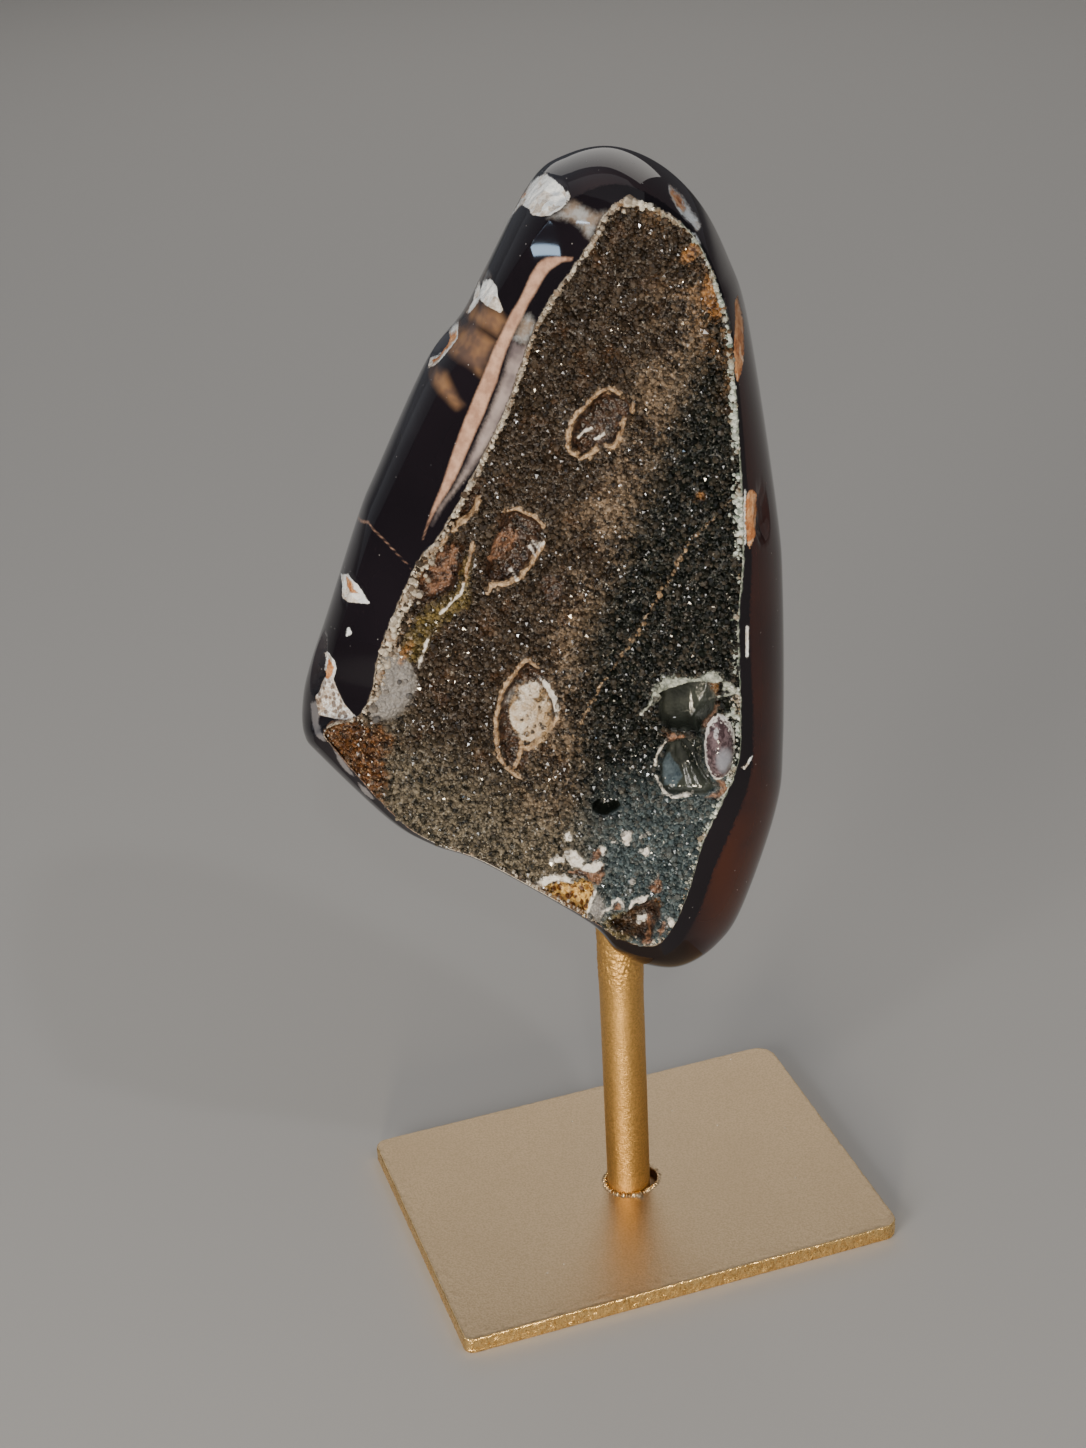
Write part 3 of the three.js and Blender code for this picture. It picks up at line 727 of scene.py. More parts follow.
# %% The vein, the strip beside it and the clouds
VEIN = [(-3.4, 153.8), (-6.6, 153.7), (-8.7, 153.3), (-10, 152.4), (-11.6, 150.2), (-12.9, 147.5),
 (-14.3, 145), (-15.7, 143), (-16.9, 140.6), (-18.2, 138.2), (-19.4, 135.9), (-20.7, 133),
 (-21.9, 130.3), (-23.3, 127.4), (-25.1, 123.5), (-26.8, 119.6), (-28.1, 116.4), (-29.3, 113.2),
 (-30.7, 109.5), (-32.1, 106.7), (-33.5, 103.3), (-34.9, 99.4), (-34.5, 99.5), (-33.4, 102.1),
 (-32.1, 104.6), (-30.6, 107), (-29.2, 108.9), (-27.4, 111.8), (-25.9, 114.9), (-24.4, 118),
 (-22.9, 121.1), (-21.2, 124.5), (-19.9, 127.6), (-18.6, 130.3), (-17.8, 133), (-16.7, 135.8),
 (-15.7, 138), (-14.6, 140.2), (-13.4, 142.3), (-12.1, 144.8), (-10.5, 147.2), (-9.1, 149.5),
 (-7.9, 151.1), (-6.7, 151.9), (-5.5, 152.7), (-3.6, 153)]
HAIRLINE_WIDTH = 0.22
HAIRLINE = [(-49.3, 99), (-46, 100.7), (-43, 98.6), (-39.7, 95.9), (-37.3, 94.1)]
LILAC_STRIP = [(-15.4, 138.2), (-13.9, 137.4), (-12.2, 137.6), (-14, 132.8), (-15.8, 128.1), (-18.3, 123.1),
 (-20.8, 118.8), (-23.7, 114.5), (-26.5, 110.9), (-30.1, 106.4), (-32.7, 102.4), (-30.9, 106.2),
 (-28.7, 108.7), (-26.9, 111.6), (-25.3, 114.7), (-23.6, 118.1), (-22.1, 121.2), (-20.4, 124.7),
 (-19.2, 127.3), (-17.9, 130.4), (-17, 133)]
TAN_CLOUDS = [
    [(-26.6, 137.7), (-23.3, 139.6), (-20.5, 138.6), (-18.6, 137.4), (-20.3, 133.6), (-21.9, 130.6),
     (-24.2, 132.1), (-26.6, 133.2), (-28.4, 133.8), (-27.7, 135.9)],
    [(-31, 130.9), (-28.6, 130.9), (-27.6, 128.9), (-26.5, 126.8), (-25.3, 125.5), (-26.9, 124.3),
     (-29.2, 126.3), (-31.4, 128.1), (-32.3, 129.3)],
    [(-24.1, 141.6), (-20.9, 143.7), (-17.6, 142.9), (-16.1, 141.3), (-18.2, 138.2), (-20.5, 139.3),
     (-23, 140), (-24.9, 139.9)],
]
MILKY = [
    [(-4.5, 162.9), (-3, 163.4), (-1.2, 162.5), (1, 161.7), (3, 162.1), (1.7, 160.1), (0.6, 158.3),
     (-0.2, 156.8), (-1.3, 157.5), (-2, 158.8), (-3.8, 159.7), (-6.4, 160.1), (-8.3, 160), (-6.1, 161.1)],
    [(-13.6, 142.6), (-11.9, 143.4), (-10.5, 141.6), (-11.6, 139.2), (-12.8, 137.5), (-14.7, 138),
     (-15.4, 138.6)],
    [(-21.5, 147.4), (-20.7, 148.9), (-20.7, 148.5), (-19.6, 148.2), (-21.5, 146.5), (-23.3, 143.7),
     (-23.7, 143.5)],
]
print("the vein is drawn with", len(VEIN), "places")

# %% Chips and their rusty hearts
WHITE_CHIPS = [
    [(-21.3, 146.7), (-19.6, 147.8), (-18.3, 147.1), (-18.1, 145.6), (-17.1, 143.3), (-17.6, 142.7),
     (-19.6, 143.4), (-21.8, 143.8), (-22, 144.7)],
    [(-23.2, 144.1), (-22.4, 145.8), (-21.7, 144.4), (-22.9, 142.4), (-24.4, 140.6), (-25, 140.3),
     (-23.7, 142.4)],
    [(-12, 163.6), (-10.3, 165.2), (-8.6, 166.2), (-7.3, 166), (-5.7, 165.5), (-4.5, 163.9),
     (-4.6, 162.6), (-6, 161.5), (-8, 160.4), (-9.9, 160), (-11.4, 160), (-11.9, 160.7), (-12.9, 160.5),
     (-13.5, 161.3), (-12.5, 162.8)],
    [(-16.9, 155.8), (-15.9, 157.5), (-14.5, 159.8), (-13.4, 161.6), (-12.2, 163), (-12.9, 161.3),
     (-14.5, 159.4), (-16.1, 157.2)],
    [(-4.9, 164.7), (-4.4, 164.9), (-3.8, 164), (-4.2, 162.9)],
    [(-58.9, 71.7), (-57.7, 73.3), (-56, 73.7), (-54.6, 72.8), (-54.2, 71.3), (-55, 68.7),
     (-54.1, 66.5), (-52.9, 64.4), (-51.2, 63.1), (-50.1, 62.7), (-49.9, 62.8), (-51.6, 62),
     (-55.1, 61.3), (-57.4, 61.1), (-58.7, 61.1), (-59.4, 63.5), (-59.4, 65.9), (-58.9, 68.6),
     (-59.3, 70.1)],
    [(-53.5, 87.6), (-51.1, 89.6), (-48.8, 88.8), (-46.1, 85.5), (-50, 85), (-52.6, 84.8), (-52.6, 86.6)],
    [(-51.3, 79.9), (-50.9, 80.1), (-50.3, 78.6), (-51.9, 78)],
    [(-30.4, 133.8), (-32.7, 131.2), (-33.1, 129.7), (-30.5, 131.8), (-28.5, 134.1), (-26.6, 136.3),
     (-26.8, 138), (-28.3, 136.5)],
    [(14.1, 164.2), (15.4, 163.1), (16.8, 161.7), (17.9, 160.3), (19.3, 158.4), (20, 157.2),
     (19.1, 157.4), (18.3, 158.8), (17.1, 160.2), (16.1, 161.1), (15.1, 162.3), (14.3, 163.5)],
    [(18.2, 157.8), (19.1, 157.1), (20, 155.3), (19.2, 156)],
    [(27.3, 80.4), (27.9, 80), (27.8, 73.5), (27.2, 73.3)],
    [(26, 50.1), (26.8, 49.1), (28.1, 50.8), (28.6, 52), (27.8, 51.6), (27, 50)],
    [(27.3, 108.5), (27.7, 108.3), (27.6, 97.1), (27, 97.3), (26.9, 102.6)],
]
RUSTY_HEARTS = [
    [(-58.5, 71.7), (-57, 72.6), (-55.8, 72.2), (-54.9, 71.2), (-55.5, 69), (-56.6, 68.3),
     (-57.6, 68.6), (-57.3, 70.2), (-58.7, 70.4)],
    [(-52.2, 88.4), (-51, 89.1), (-49.8, 88.1), (-48.6, 87), (-50.7, 86.8), (-51.8, 87.4)],
    [(-30.8, 133), (-32.1, 131.5), (-32.3, 130.7), (-30.7, 132.2), (-29, 134.1), (-27.2, 135.8),
     (-27, 137.1), (-28.8, 135.7)],
    [(-14, 160.7), (-13.4, 161.6), (-12.5, 162.5), (-13.4, 161.2)],
    [(14.3, 164), (16.1, 162.4), (17.5, 160.6), (17.2, 160.4), (15.8, 161.8), (14.5, 163.1)],
    [(25.9, 143.3), (26.5, 143), (27, 141), (27.6, 138.2), (27.6, 135.9), (27.6, 133.6), (27.1, 130.9),
     (26.2, 129.2), (25.7, 131.3), (25.5, 135.6), (25.8, 139), (26, 140.9)],
    [(27.5, 107.7), (28.7, 108), (30.2, 105.5), (30.8, 102.7), (30.2, 99.9), (29, 97.7), (28.2, 96.1),
     (27.6, 98.1), (27.4, 102.5)],
]
GREY_GLASS_CHIPS = [
    [(-59.2, 65.7), (-57.6, 66.8), (-56.7, 65.9), (-57.7, 64.1), (-58.3, 61.6), (-59.2, 61.4)],
    [(-56.2, 67.6), (-54.9, 66.7), (-53.3, 64.3), (-51.6, 63), (-53.4, 63), (-55.1, 64.5)],
    [(-60.8, 62.1), (-59.1, 63.6), (-58.5, 61.6), (-58.7, 59.5), (-57.4, 58.9), (-56.8, 57.2),
     (-58, 57.4), (-60.2, 58.8)],
    [(-55.7, 56.8), (-54.7, 55.4), (-53.6, 53.6), (-52.8, 51.3), (-51.8, 49.2), (-52.7, 49.3),
     (-54.5, 51.4), (-55.1, 54)],
    [(-51.2, 47.5), (-49.6, 46.4), (-48.1, 43.9), (-48.9, 43.5), (-50.7, 45)],
]
print(len(WHITE_CHIPS), "white chips and", len(GREY_GLASS_CHIPS), "grey ones")


# %% The stone, marked and bitten
FAR_BEHIND = -9.0  # takes the marks off the back


def deepest(uv, outlines):
    """How deep each point is in the nearest of some outlines, negative outside all of them."""
    return np.max([depth_in(uv, outline) for outline in outlines], axis=0)


def mark_stone(mesh, t, p):
    """Stores how far each point of the stone is from its bands, veins, chips and clouds."""
    points = coordinates(mesh)
    uv = points[:, :2]
    rim = ring_points(rib_at(t)[:, :2], 0)
    note(mesh, "from_edge", np.where(p < WALL_END, 0.0, np.linalg.norm(points - rim, axis=1)))
    note(mesh, "in_band", np.where(p < BAND_END, (p - WALL_END) / (BAND_END - WALL_END),
                                   1 + (p - BAND_END) / (SHOULDER_END - BAND_END)))
    front = np.where(p <= SHOULDER_END + 0.05, 0.0, FAR_BEHIND)
    depths = {
        "vein": np.maximum(depth_in(uv, VEIN), HAIRLINE_WIDTH - to_line(uv, HAIRLINE)),
        "lilac": depth_in(uv, LILAC_STRIP),
        "cloud": deepest(uv, TAN_CLOUDS),
        "milky": deepest(uv, MILKY),
        "grey": deepest(uv, GREY_GLASS_CHIPS),
        "rust": deepest(uv, RUSTY_HEARTS),
        "chip": deepest(uv, WHITE_CHIPS),
    }
    for name, depth in depths.items():
        note(mesh, name, depth + front)
    return depths["chip"] + front


def bite_stone(mesh, chip):
    points = coordinates(mesh)
    normals = coordinates(mesh, "normal")
    lumps = ripple(points, 1.6, 4)
    sunk = np.full(len(points), STONE_SHRINK)
    for across, up, out, *half, turn, depth in BITES:
        c, s = math.cos(math.radians(turn)), math.sin(math.radians(turn))
        turned = (points - (across, up, out)) @ np.array([[c, -s, 0], [s, c, 0], [0, 0, 1]])
        reach = np.linalg.norm(turned / half, axis=1)
        hollow = np.clip(1 - reach**2, 0, 1) ** 0.6
        sunk += depth * hollow * (1 + 0.45 * lumps)
    sunk += CHIP_DEPTH * np.clip(chip / 0.7, 0, 1) * (1 + 0.9 * lumps)
    set_coordinates(mesh, points - normals * sunk[:, None])


stone_mesh, stone_t, stone_p = wrapped(620, 150, place_on_stone)
stone_chips = mark_stone(stone_mesh, stone_t, stone_p)
bite_stone(stone_mesh, stone_chips)
finish_piece(stone_mesh, "agate_body", agate, "agate_stone", matrix=face_to_object)

# %% [markdown]
# ## The ground of the druse
# The ground is a height field: a fine grid over the face, trimmed to its outline and then raised and
# sunk by everything that is on it: the gentle sag of the whole, four ring pits with thin raised
# rims, a deep hole, and the broken pockets whose walls are flat like those of split flint.

# %% Ring pits and their rims
PIT_FLOORS = [
    [(0.6, 128.1), (2.5, 128.7), (4.3, 127.7), (6.1, 126.6), (6.6, 125.3), (6.2, 123.7), (5.1, 122.2),
     (4, 119.1), (2.9, 117.7), (-0.2, 117.4), (-1.7, 115.9), (-3.5, 115.3), (-4.9, 117), (-5.6, 118.9),
     (-4.9, 122.1), (-3.7, 124), (-1.9, 125.9)],
    [(-19.4, 103.7), (-18, 104.9), (-16.3, 105.3), (-14.4, 104.4), (-12.5, 103.1), (-11.2, 101.7),
     (-11.7, 99.5), (-11.4, 98), (-12.7, 95.8), (-14.3, 93.6), (-16.4, 91.5), (-18.5, 90.3),
     (-21.7, 90), (-23.1, 91.5), (-23.2, 94), (-22.1, 96.8), (-20.3, 100.7)],
    [(-32.9, 97.5), (-30.1, 98.7), (-28.1, 99.4), (-26.4, 98.2), (-26.4, 95.3), (-27.4, 92.2),
     (-29.1, 89.1), (-32, 87.1), (-34.8, 85.9), (-36.7, 86.8), (-37.5, 88.9), (-37.2, 91.4),
     (-35.2, 94.2)],
    [(-15.8, 73.6), (-13.9, 72.5), (-11.8, 70.5), (-10.4, 67), (-9.9, 64.4), (-10.3, 61.3), (-12, 58.5),
     (-13.9, 56.1), (-16, 53.1), (-17.8, 49.1), (-19.8, 50), (-21.5, 52.3), (-22.3, 55.8),
     (-22.2, 60.7), (-21.6, 64.6), (-20.3, 68.1), (-18.3, 71.1)],
    [(-24, 110.5), (-22.1, 110.6), (-22.6, 108.2), (-23.9, 105), (-26, 103), (-28.8, 101.1),
     (-31.3, 98.3), (-32.4, 98.3), (-29.4, 103.5), (-26.9, 107.5)],
]
PIT_DEPTHS = [2.0, 2.2, 3.1, 1.7, 1.9]
TAN_RIMS = [
    [(4.5, 127.7), (3.2, 128.7), (1.7, 128.9), (0.6, 128.3), (-1, 127), (-2.3, 125.3), (-3.9, 124),
     (-5.1, 122.1), (-5.5, 120.1), (-6, 117.8), (-5.3, 116.4), (-4.2, 115.8)],
    [(6.8, 125.8), (6.4, 124.3)],
    [(4.9, 122.6), (4.4, 120.7), (3.8, 118.7), (2.8, 117.5), (1.5, 117.6)],
    [(-0.4, 117.2), (-1.9, 115.9), (-3.3, 115.1)],
    [(-17.8, 105.1), (-16.6, 105.5), (-15.3, 105.2)],
    [(-14.8, 104.6), (-13.3, 104), (-12, 102.7), (-11.2, 101.7)],
    [(-11.2, 98.2), (-12.7, 95.8), (-14.1, 93.5), (-16.4, 91.3), (-18.5, 90.3), (-20.5, 90),
     (-22.1, 89.8), (-22.5, 88.5)],
    [(-23.2, 107.8), (-24.3, 105.4), (-25.9, 103.9), (-28, 102.1), (-29.6, 100.7), (-30.9, 98.9),
     (-32.1, 97.9)],
    [(-24.9, 98.9), (-25.2, 96.9), (-25.9, 94.8), (-26.4, 92.8), (-27.1, 91.1)],
    [(-33, 96.2), (-35.1, 93.4), (-36.8, 90.5)],
    [(-13.7, 72.3), (-15.4, 73.8), (-16.6, 73.4), (-18.5, 70.8), (-20, 68.7), (-21.4, 65.9),
     (-22.2, 62.2), (-22.5, 58.9), (-22.7, 56.3), (-22.3, 52.9), (-21.3, 51.4)],
    [(-20.6, 50.5), (-19.4, 49.1), (-18.1, 48.4)],
    [(-10.1, 61.3), (-11.5, 59.6), (-13.2, 58.5)],
    [(-13.6, 57), (-15.1, 55.3), (-16.8, 54.2)],
    [(-17.7, 55.8), (-18, 53.1), (-19.2, 50.4)],
]
print(len(PIT_FLOORS), "pit floors and", len(TAN_RIMS), "lengths of rim")

# %% Pale lines, fibres and stains
PALE_LINES = [
    [(-27.1, 90.7), (-27.6, 88.7), (-29.7, 86.6), (-32.2, 83.9)],
    [(-34.9, 78.7), (-35.8, 76.6), (-36.7, 74.4), (-37.1, 72.7)],
    [(-0.7, 118.6), (1, 119.6)],
    [(-3.9, 118.9), (-2.7, 120.2), (-1.4, 120.6)],
    [(-14.5, 97.1), (-13.2, 95.8)],
    [(-13.7, 97.7), (-12.4, 96.8)],
    [(-13, 97.4), (-11.2, 98.4)],
    [(-18.2, 92.6), (-16.6, 91.1)],
    [(8.7, 64.9), (6.4, 61.5)],
    [(11.2, 55.5), (9.2, 52.8), (8.9, 50.4)],
    [(9, 47.7), (9.8, 45.7), (10.5, 43.9), (12.1, 43), (14.5, 43.4), (16.2, 43.6)],
    [(21.7, 65.5), (23.6, 65.9), (25.2, 66.3)],
    [(20.6, 59.7), (22.8, 60.7), (24.2, 62), (24.9, 60.7), (25.9, 62), (26.2, 63.7)],
    [(25.5, 58.5), (26.1, 61.1)],
    [(19.7, 50.7), (20, 48.9), (21, 47.3), (22.2, 47.7), (23.8, 49)],
    [(24.2, 49.3), (24.8, 47.9), (24.2, 45.9), (23.4, 44.1), (21.4, 42.8)],
    [(19.3, 54.2), (19.6, 56.4), (20.4, 58.4), (22, 59.9)],
    [(2.8, 18.2), (3.8, 20.1), (5.1, 20.8), (6.8, 21.4)],
    [(-0.9, 18.5), (-0.5, 19.9), (0.6, 20.6), (1.6, 19.6), (1.7, 18.4)],
    [(-3.1, 16.6), (-2.6, 17.8), (-1.6, 18)],
    [(-3.9, 22.3), (-5, 19.9), (-5.9, 17.1)],
]
FIBROUS = [
    [(-19.6, 100.7), (-17.2, 101.2), (-16.4, 99.1), (-18.3, 95.9), (-21.1, 93.9), (-22.6, 94.8),
     (-21.3, 97.6)],
    [(-32.5, 97.1), (-29.7, 98.2), (-27.8, 97.8), (-28.5, 93.7), (-30.3, 89.5), (-32.7, 87.5),
     (-35.5, 86.7), (-36.6, 88.8), (-36.4, 91.8), (-34.6, 94.2)],
    [(19.9, 65.6), (21.6, 64.7), (21.2, 62.1), (20.4, 59.5), (18.8, 58.6), (18, 60.4), (18.9, 63.4)],
    [(10.9, 57.9), (13.2, 57.2), (16, 56.9), (13.2, 55.6), (11.6, 55.2)],
    [(6.6, 16.5), (7.8, 14.6), (7.3, 11.3), (8.1, 10.1), (6, 9.6), (4.8, 10.3), (6.5, 11.3), (5.9, 13.7)],
    [(9.9, 15.5), (9.3, 15), (8.4, 12.7), (8.8, 10.8), (9.8, 12.7), (10.7, 14.6)],
    [(6.4, 23.1), (7.6, 24), (9.1, 26.1), (9.9, 24.4), (9.6, 21.4), (8, 21.4)],
    [(-11.1, 26.4), (-8, 27), (-4.9, 27.4), (-2, 28.8), (-1.9, 26), (-3.2, 23.4), (-4.6, 24.2),
     (-6.2, 25.4)],
    [(-4.9, 29.3), (-4.4, 31.1), (-2.7, 32), (-1.9, 31.1), (-2.8, 29.7), (-4.3, 28.8)],
    [(-0.5, 17.5), (-0.3, 19.7), (1, 19.9), (1.3, 18.2)],
    [(18.5, 42.9), (20.2, 44), (21.8, 45.1), (21, 47.1), (23.4, 47), (23.8, 45.2), (21.8, 43)],
]
OLIVE_STAINS = [
    [(-39.8, 75.6), (-38.4, 78.8), (-36.2, 82.9), (-32.8, 85.8), (-29.6, 87), (-27.5, 89.5),
     (-26, 95.3), (-26.8, 95.3), (-26.9, 87), (-32.3, 82.4), (-34.8, 79.5), (-36.6, 76.1), (-38.7, 74.5)],
    [(-1.7, 14.7), (0.4, 16.3), (4.2, 17.2), (4.1, 12.7), (1.5, 11.3), (-0.9, 12.8)],
]
OCHRE_STAINS = [
    [(-41.1, 74.1), (-40.2, 76.6), (-38.5, 78.3), (-37.7, 77.5), (-39.1, 75.3), (-40.8, 72.8)],
    [(-15.2, 22.2), (-13.3, 23.8), (-11.2, 24.5), (-8.8, 23.3), (-7.1, 23.7), (-5.6, 20.9), (-5.7, 19),
     (-6.3, 16.9), (-7.8, 16.7), (-10.2, 18.4), (-13, 20.5)],
    [(15.9, 152.9), (17.1, 154.7), (18.5, 155.6), (19.6, 154.3), (17.7, 152.1), (16.7, 151.8)],
    [(20, 70.1), (21.3, 70.3), (22.5, 69.6), (20.9, 69)],
    [(18.3, 107.6), (19.2, 108), (19.9, 107), (19.2, 106), (18.2, 106.4)],
    [(19.9, 68.6), (21.7, 68.3), (21.7, 65.7), (20.1, 65.3)],
    [(8, 20.2), (9.2, 20.7), (9.5, 17.9), (8.3, 18.8)],
    [(20.6, 149.5), (23.5, 146.8), (23.8, 142.7), (22.3, 140.9), (19.4, 145.1)],
]
LIMONITE = [(-57.7, 61.3), (-56.8, 62.6), (-52.5, 61.7), (-49.4, 60.1), (-46, 62), (-45.5, 57.6),
 (-48.2, 53.6), (-47, 48.7), (-48.8, 46), (-50.6, 49.6), (-52.3, 53.7), (-54.9, 56.4)]
print(len(PALE_LINES), "pale lines,", len(FIBROUS), "fibrous spots and", len(OCHRE_STAINS), "of ochre")

# %% Flakes, glassy spots and broken pockets
PALE_FLAKES = [
    [(6.4, 61.5), (7.8, 63.2), (8.9, 66.4), (9.7, 68.1), (11.1, 70), (12.7, 70), (15.8, 69.5),
     (18.2, 69.5), (19, 70.5), (20.6, 71.1), (22.1, 70.3), (22.9, 69.2), (21.3, 68.6), (18.2, 68.8),
     (15.8, 68.4), (13.4, 67.6), (11.3, 66.8), (9.7, 65.8), (8.6, 64)],
    [(-19.6, 62.2), (-19.1, 63.7), (-17.9, 64.8), (-16.4, 65.4), (-15.1, 64.9), (-13.9, 63.6),
     (-14.2, 61.4), (-14.9, 59.2), (-16.4, 57.7), (-17.8, 57.3), (-19.1, 58.9), (-19.7, 60.6)],
    [(-17.5, 67.6), (-16.1, 68), (-14.3, 69), (-13.4, 67.5), (-13.9, 65.3), (-15.9, 65.2), (-17.8, 65.4)],
    [(-13.9, 64), (-12.3, 64.9), (-12, 63.1), (-12.8, 61.8), (-13.1, 60.1), (-12.5, 59.2),
     (-13.8, 57.5), (-15.9, 55.7), (-17.5, 56.2), (-18.2, 57.1), (-16.2, 57.3), (-14.5, 59.2),
     (-13.6, 61.8)],
    [(-13.3, 69.7), (-11.7, 68.6), (-10.4, 66.6), (-10, 64), (-10.6, 61.8), (-11.1, 64.4), (-12.2, 67)],
    [(-13.1, 28.9), (-11.8, 30.1), (-10.1, 30.3), (-10.2, 29.1), (-11.4, 28.5)],
    [(-9.5, 31.2), (-7.8, 31.6), (-6.9, 30.2), (-6.3, 28.8), (-6.6, 27.7), (-8.6, 27.7), (-9.4, 29.3)],
    [(-6.6, 27), (-5.3, 28.6), (-3.2, 29), (-2.2, 28.8), (-2.9, 27.4), (-5, 26.5)],
    [(-2.7, 32.3), (-1.5, 31.5), (-2.2, 30.2)],
    [(-9.7, 35.3), (-8.7, 35.6), (-8.6, 34), (-9.6, 33.7)],
    [(1.8, 35.2), (3.7, 36.1), (3.6, 33.8), (2.8, 32.4), (2, 33.3)],
    [(5.3, 34.2), (7.3, 35.3), (6.1, 35.1)],
    [(5.6, 31.2), (7, 32.3), (7.2, 30.5), (6.4, 30)],
    [(-0.2, 33.6), (0.4, 33.8), (0.6, 33.1), (-0.1, 32.9)],
    [(3.2, 25.2), (4.4, 25.4), (4, 24.7)],
    [(-16.6, 23.6), (-14.9, 24.8), (-13.2, 25.7), (-10.7, 25.9), (-9.1, 24.9), (-7.9, 25.4), (-9.2, 24),
     (-12, 24.5), (-13.7, 23.6), (-15.2, 22.4)],
    [(4.1, 14.6), (6.2, 15.1), (5.9, 13.2), (4.5, 13.2)],
    [(3.4, 20.1), (5.1, 20.8), (6.5, 21.2), (6.7, 20.3), (5.1, 19.3)],
    [(10.7, 16.4), (12.4, 15), (12.1, 13.6), (10.9, 14.1)],
    [(22.5, 69.2), (24, 68.7), (25.6, 66.3), (24.4, 66.3), (22.9, 67.2)],
]
GREY_GLASS = [
    [(-43.5, 77.5), (-40.6, 76.6), (-38.4, 73.2), (-37.6, 68.6), (-39.4, 64.8), (-42.6, 61.8),
     (-46.5, 61.1), (-48, 62.5), (-46.5, 66), (-45.4, 69.4), (-45.6, 72.9)],
    [(-20.9, 63.7), (-19.8, 66.3), (-18.5, 67.6), (-18.2, 66.7), (-19.5, 64.6)],
    [(-5.3, 18.1), (-4.4, 20.4), (-3.1, 21.8), (-2, 18.7), (-2.5, 16.1), (-3.7, 14.7), (-5.3, 16.2)],
]
UPPER_CAVE = [(9.7, 66), (11.3, 67), (13.5, 67.8), (15.8, 68.7), (18.2, 68.8), (19.9, 68.6), (21.9, 66.8),
 (21.4, 64.7), (20.8, 62.1), (18.8, 59.9), (17.6, 57.1), (15.2, 57.6), (11.7, 57.9), (9.7, 60.5),
 (10, 63.8)]
LOWER_CAVE = [(11.6, 55), (14, 55.9), (16.4, 56.5), (18.4, 56.7), (18.7, 54.2), (18.5, 51.6), (19, 48.9),
 (20.2, 46.6), (21, 44.8), (19, 43.5), (16.6, 43.3), (14.1, 43.4), (11.7, 43.4), (10.2, 44.6),
 (9.8, 46.8), (9.9, 49.9), (10.7, 52.6)]
SIDE_CAVE = [(22.4, 64.2), (25.2, 64.6), (25.6, 62.9), (24, 61.6), (22.4, 62.5)]
BLUE_FACET = [(11.7, 52.4), (13.1, 49.4), (14.4, 46.7), (13, 44.5), (10.6, 45), (10.1, 48.4), (10.3, 50.6)]
GOLD_POCKET = [(-15.2, 22.2), (-13.3, 23.8), (-11.6, 24.5), (-9.2, 23.8), (-8.3, 24.4), (-6.7, 24.9),
 (-5.1, 24.2), (-4.3, 22.8), (-4.8, 20.9), (-5.6, 19.5), (-6.1, 16.7), (-7.8, 16.7), (-10.2, 18.4),
 (-13, 20.5)]
BOTTOM_POCKET = [(-1.7, 14.7), (0.5, 16.6), (3, 18.4), (5.5, 19.6), (7.3, 20.5), (9, 20.7), (9.6, 18.6),
 (9.5, 15.8), (8.2, 13.6), (7.7, 10.8), (6, 9.9), (4, 10.8), (1.5, 11.8), (-0.9, 12.8)]
DEEP_HOLE = [(-4.2, 42.1), (-2.7, 43.2), (-0.7, 43.4), (1.3, 42.5), (2, 41.1), (0.8, 40), (-1.3, 38.9),
 (-2.9, 39.1), (-4.1, 40.3)]
TAN_VEIN = [(25.4, 106.6), (16.7, 97.7), (9.8, 85.5), (4.4, 76.4), (-1.5, 67.7), (-10, 52.6)]
FAINT_PIT = (-10.4, 88.7)
print(len(PALE_FLAKES), "pale flakes and", len(GREY_GLASS), "glassy spots")

# %% Open ground and broken pockets
GROUND_LEVEL = -0.75
SAG_CENTRE = (-8, 85)
SAG_HALF = (42, 80)
FAN_CENTRE = (12.5, 57.5)


def to_lines(uv, lines):
    return np.min([to_line(uv, line) for line in lines], axis=0)


def pocket(depth, slope, facets):
    """Depth of a broken hollow: steep at its rim, then the highest of its flat inner walls."""
    return np.clip(np.min([depth * slope, *facets], axis=0), 0, None)


def open_ground(uv, crumbs, smooth):
    """The sag of the whole face with its low swells, which fade out in the pockets."""
    across, up = uv.T
    reach = np.hypot((across - SAG_CENTRE[0]) / SAG_HALF[0], (up - SAG_CENTRE[1]) / SAG_HALF[1])
    level = GROUND_LEVEL - np.clip(1 - reach**2, 0, 1)
    level += 0.35 * np.sin(across / 6.1 + up / 17) + 0.3 * np.sin(up / 8.3 - across / 13)
    return level + 0.6 * ripple(ring_points(uv, 0), 7.0, 3) * (0.3 + 0.7 * smooth) + 0.2 * crumbs * smooth


def pocket_walls(uv, upper, lower, side, blue):
    """How far the three broken pockets at the right sink, less the blades that fan out in them."""
    across, up = uv.T
    upper_walls = [2.6 + (across - 9.5) * 0.36 + (up - 58) * 0.12, 7.6 - (21.5 - across) * 0.1]
    lower_walls = [1.6 + (across - 10) * 0.42, 6.4 - (across - 13) * 0.42,
                   1.6 + (up - 43.5) * 0.36, 6 - (up - 50) * 0.3]
    sunk = pocket(upper, 3.5, upper_walls) + pocket(lower, 2.6, lower_walls)
    sunk += pocket(side, 2.2, [np.full(len(uv), 2.2)]) - np.clip(blue, 0, 0.7) * 1.1
    fan = np.arctan2(up - FAN_CENTRE[1], across - FAN_CENTRE[0])
    blades = np.abs(np.sin(fan * 9)) + 0.5 * np.abs(np.sin(fan * 23))
    sunk -= 0.4 * blades * np.clip(lower / 1.5, 0, 1) * np.clip(1 - blue / 0.3, 0, 1)
    folds = np.abs(np.sin((across * 0.9 + up * 0.25) * 1.1)) * (across > 16.4)
    return sunk - 0.35 * folds * np.clip(upper / 1.5, 0, 1)


print("blades fan out from", FAN_CENTRE)

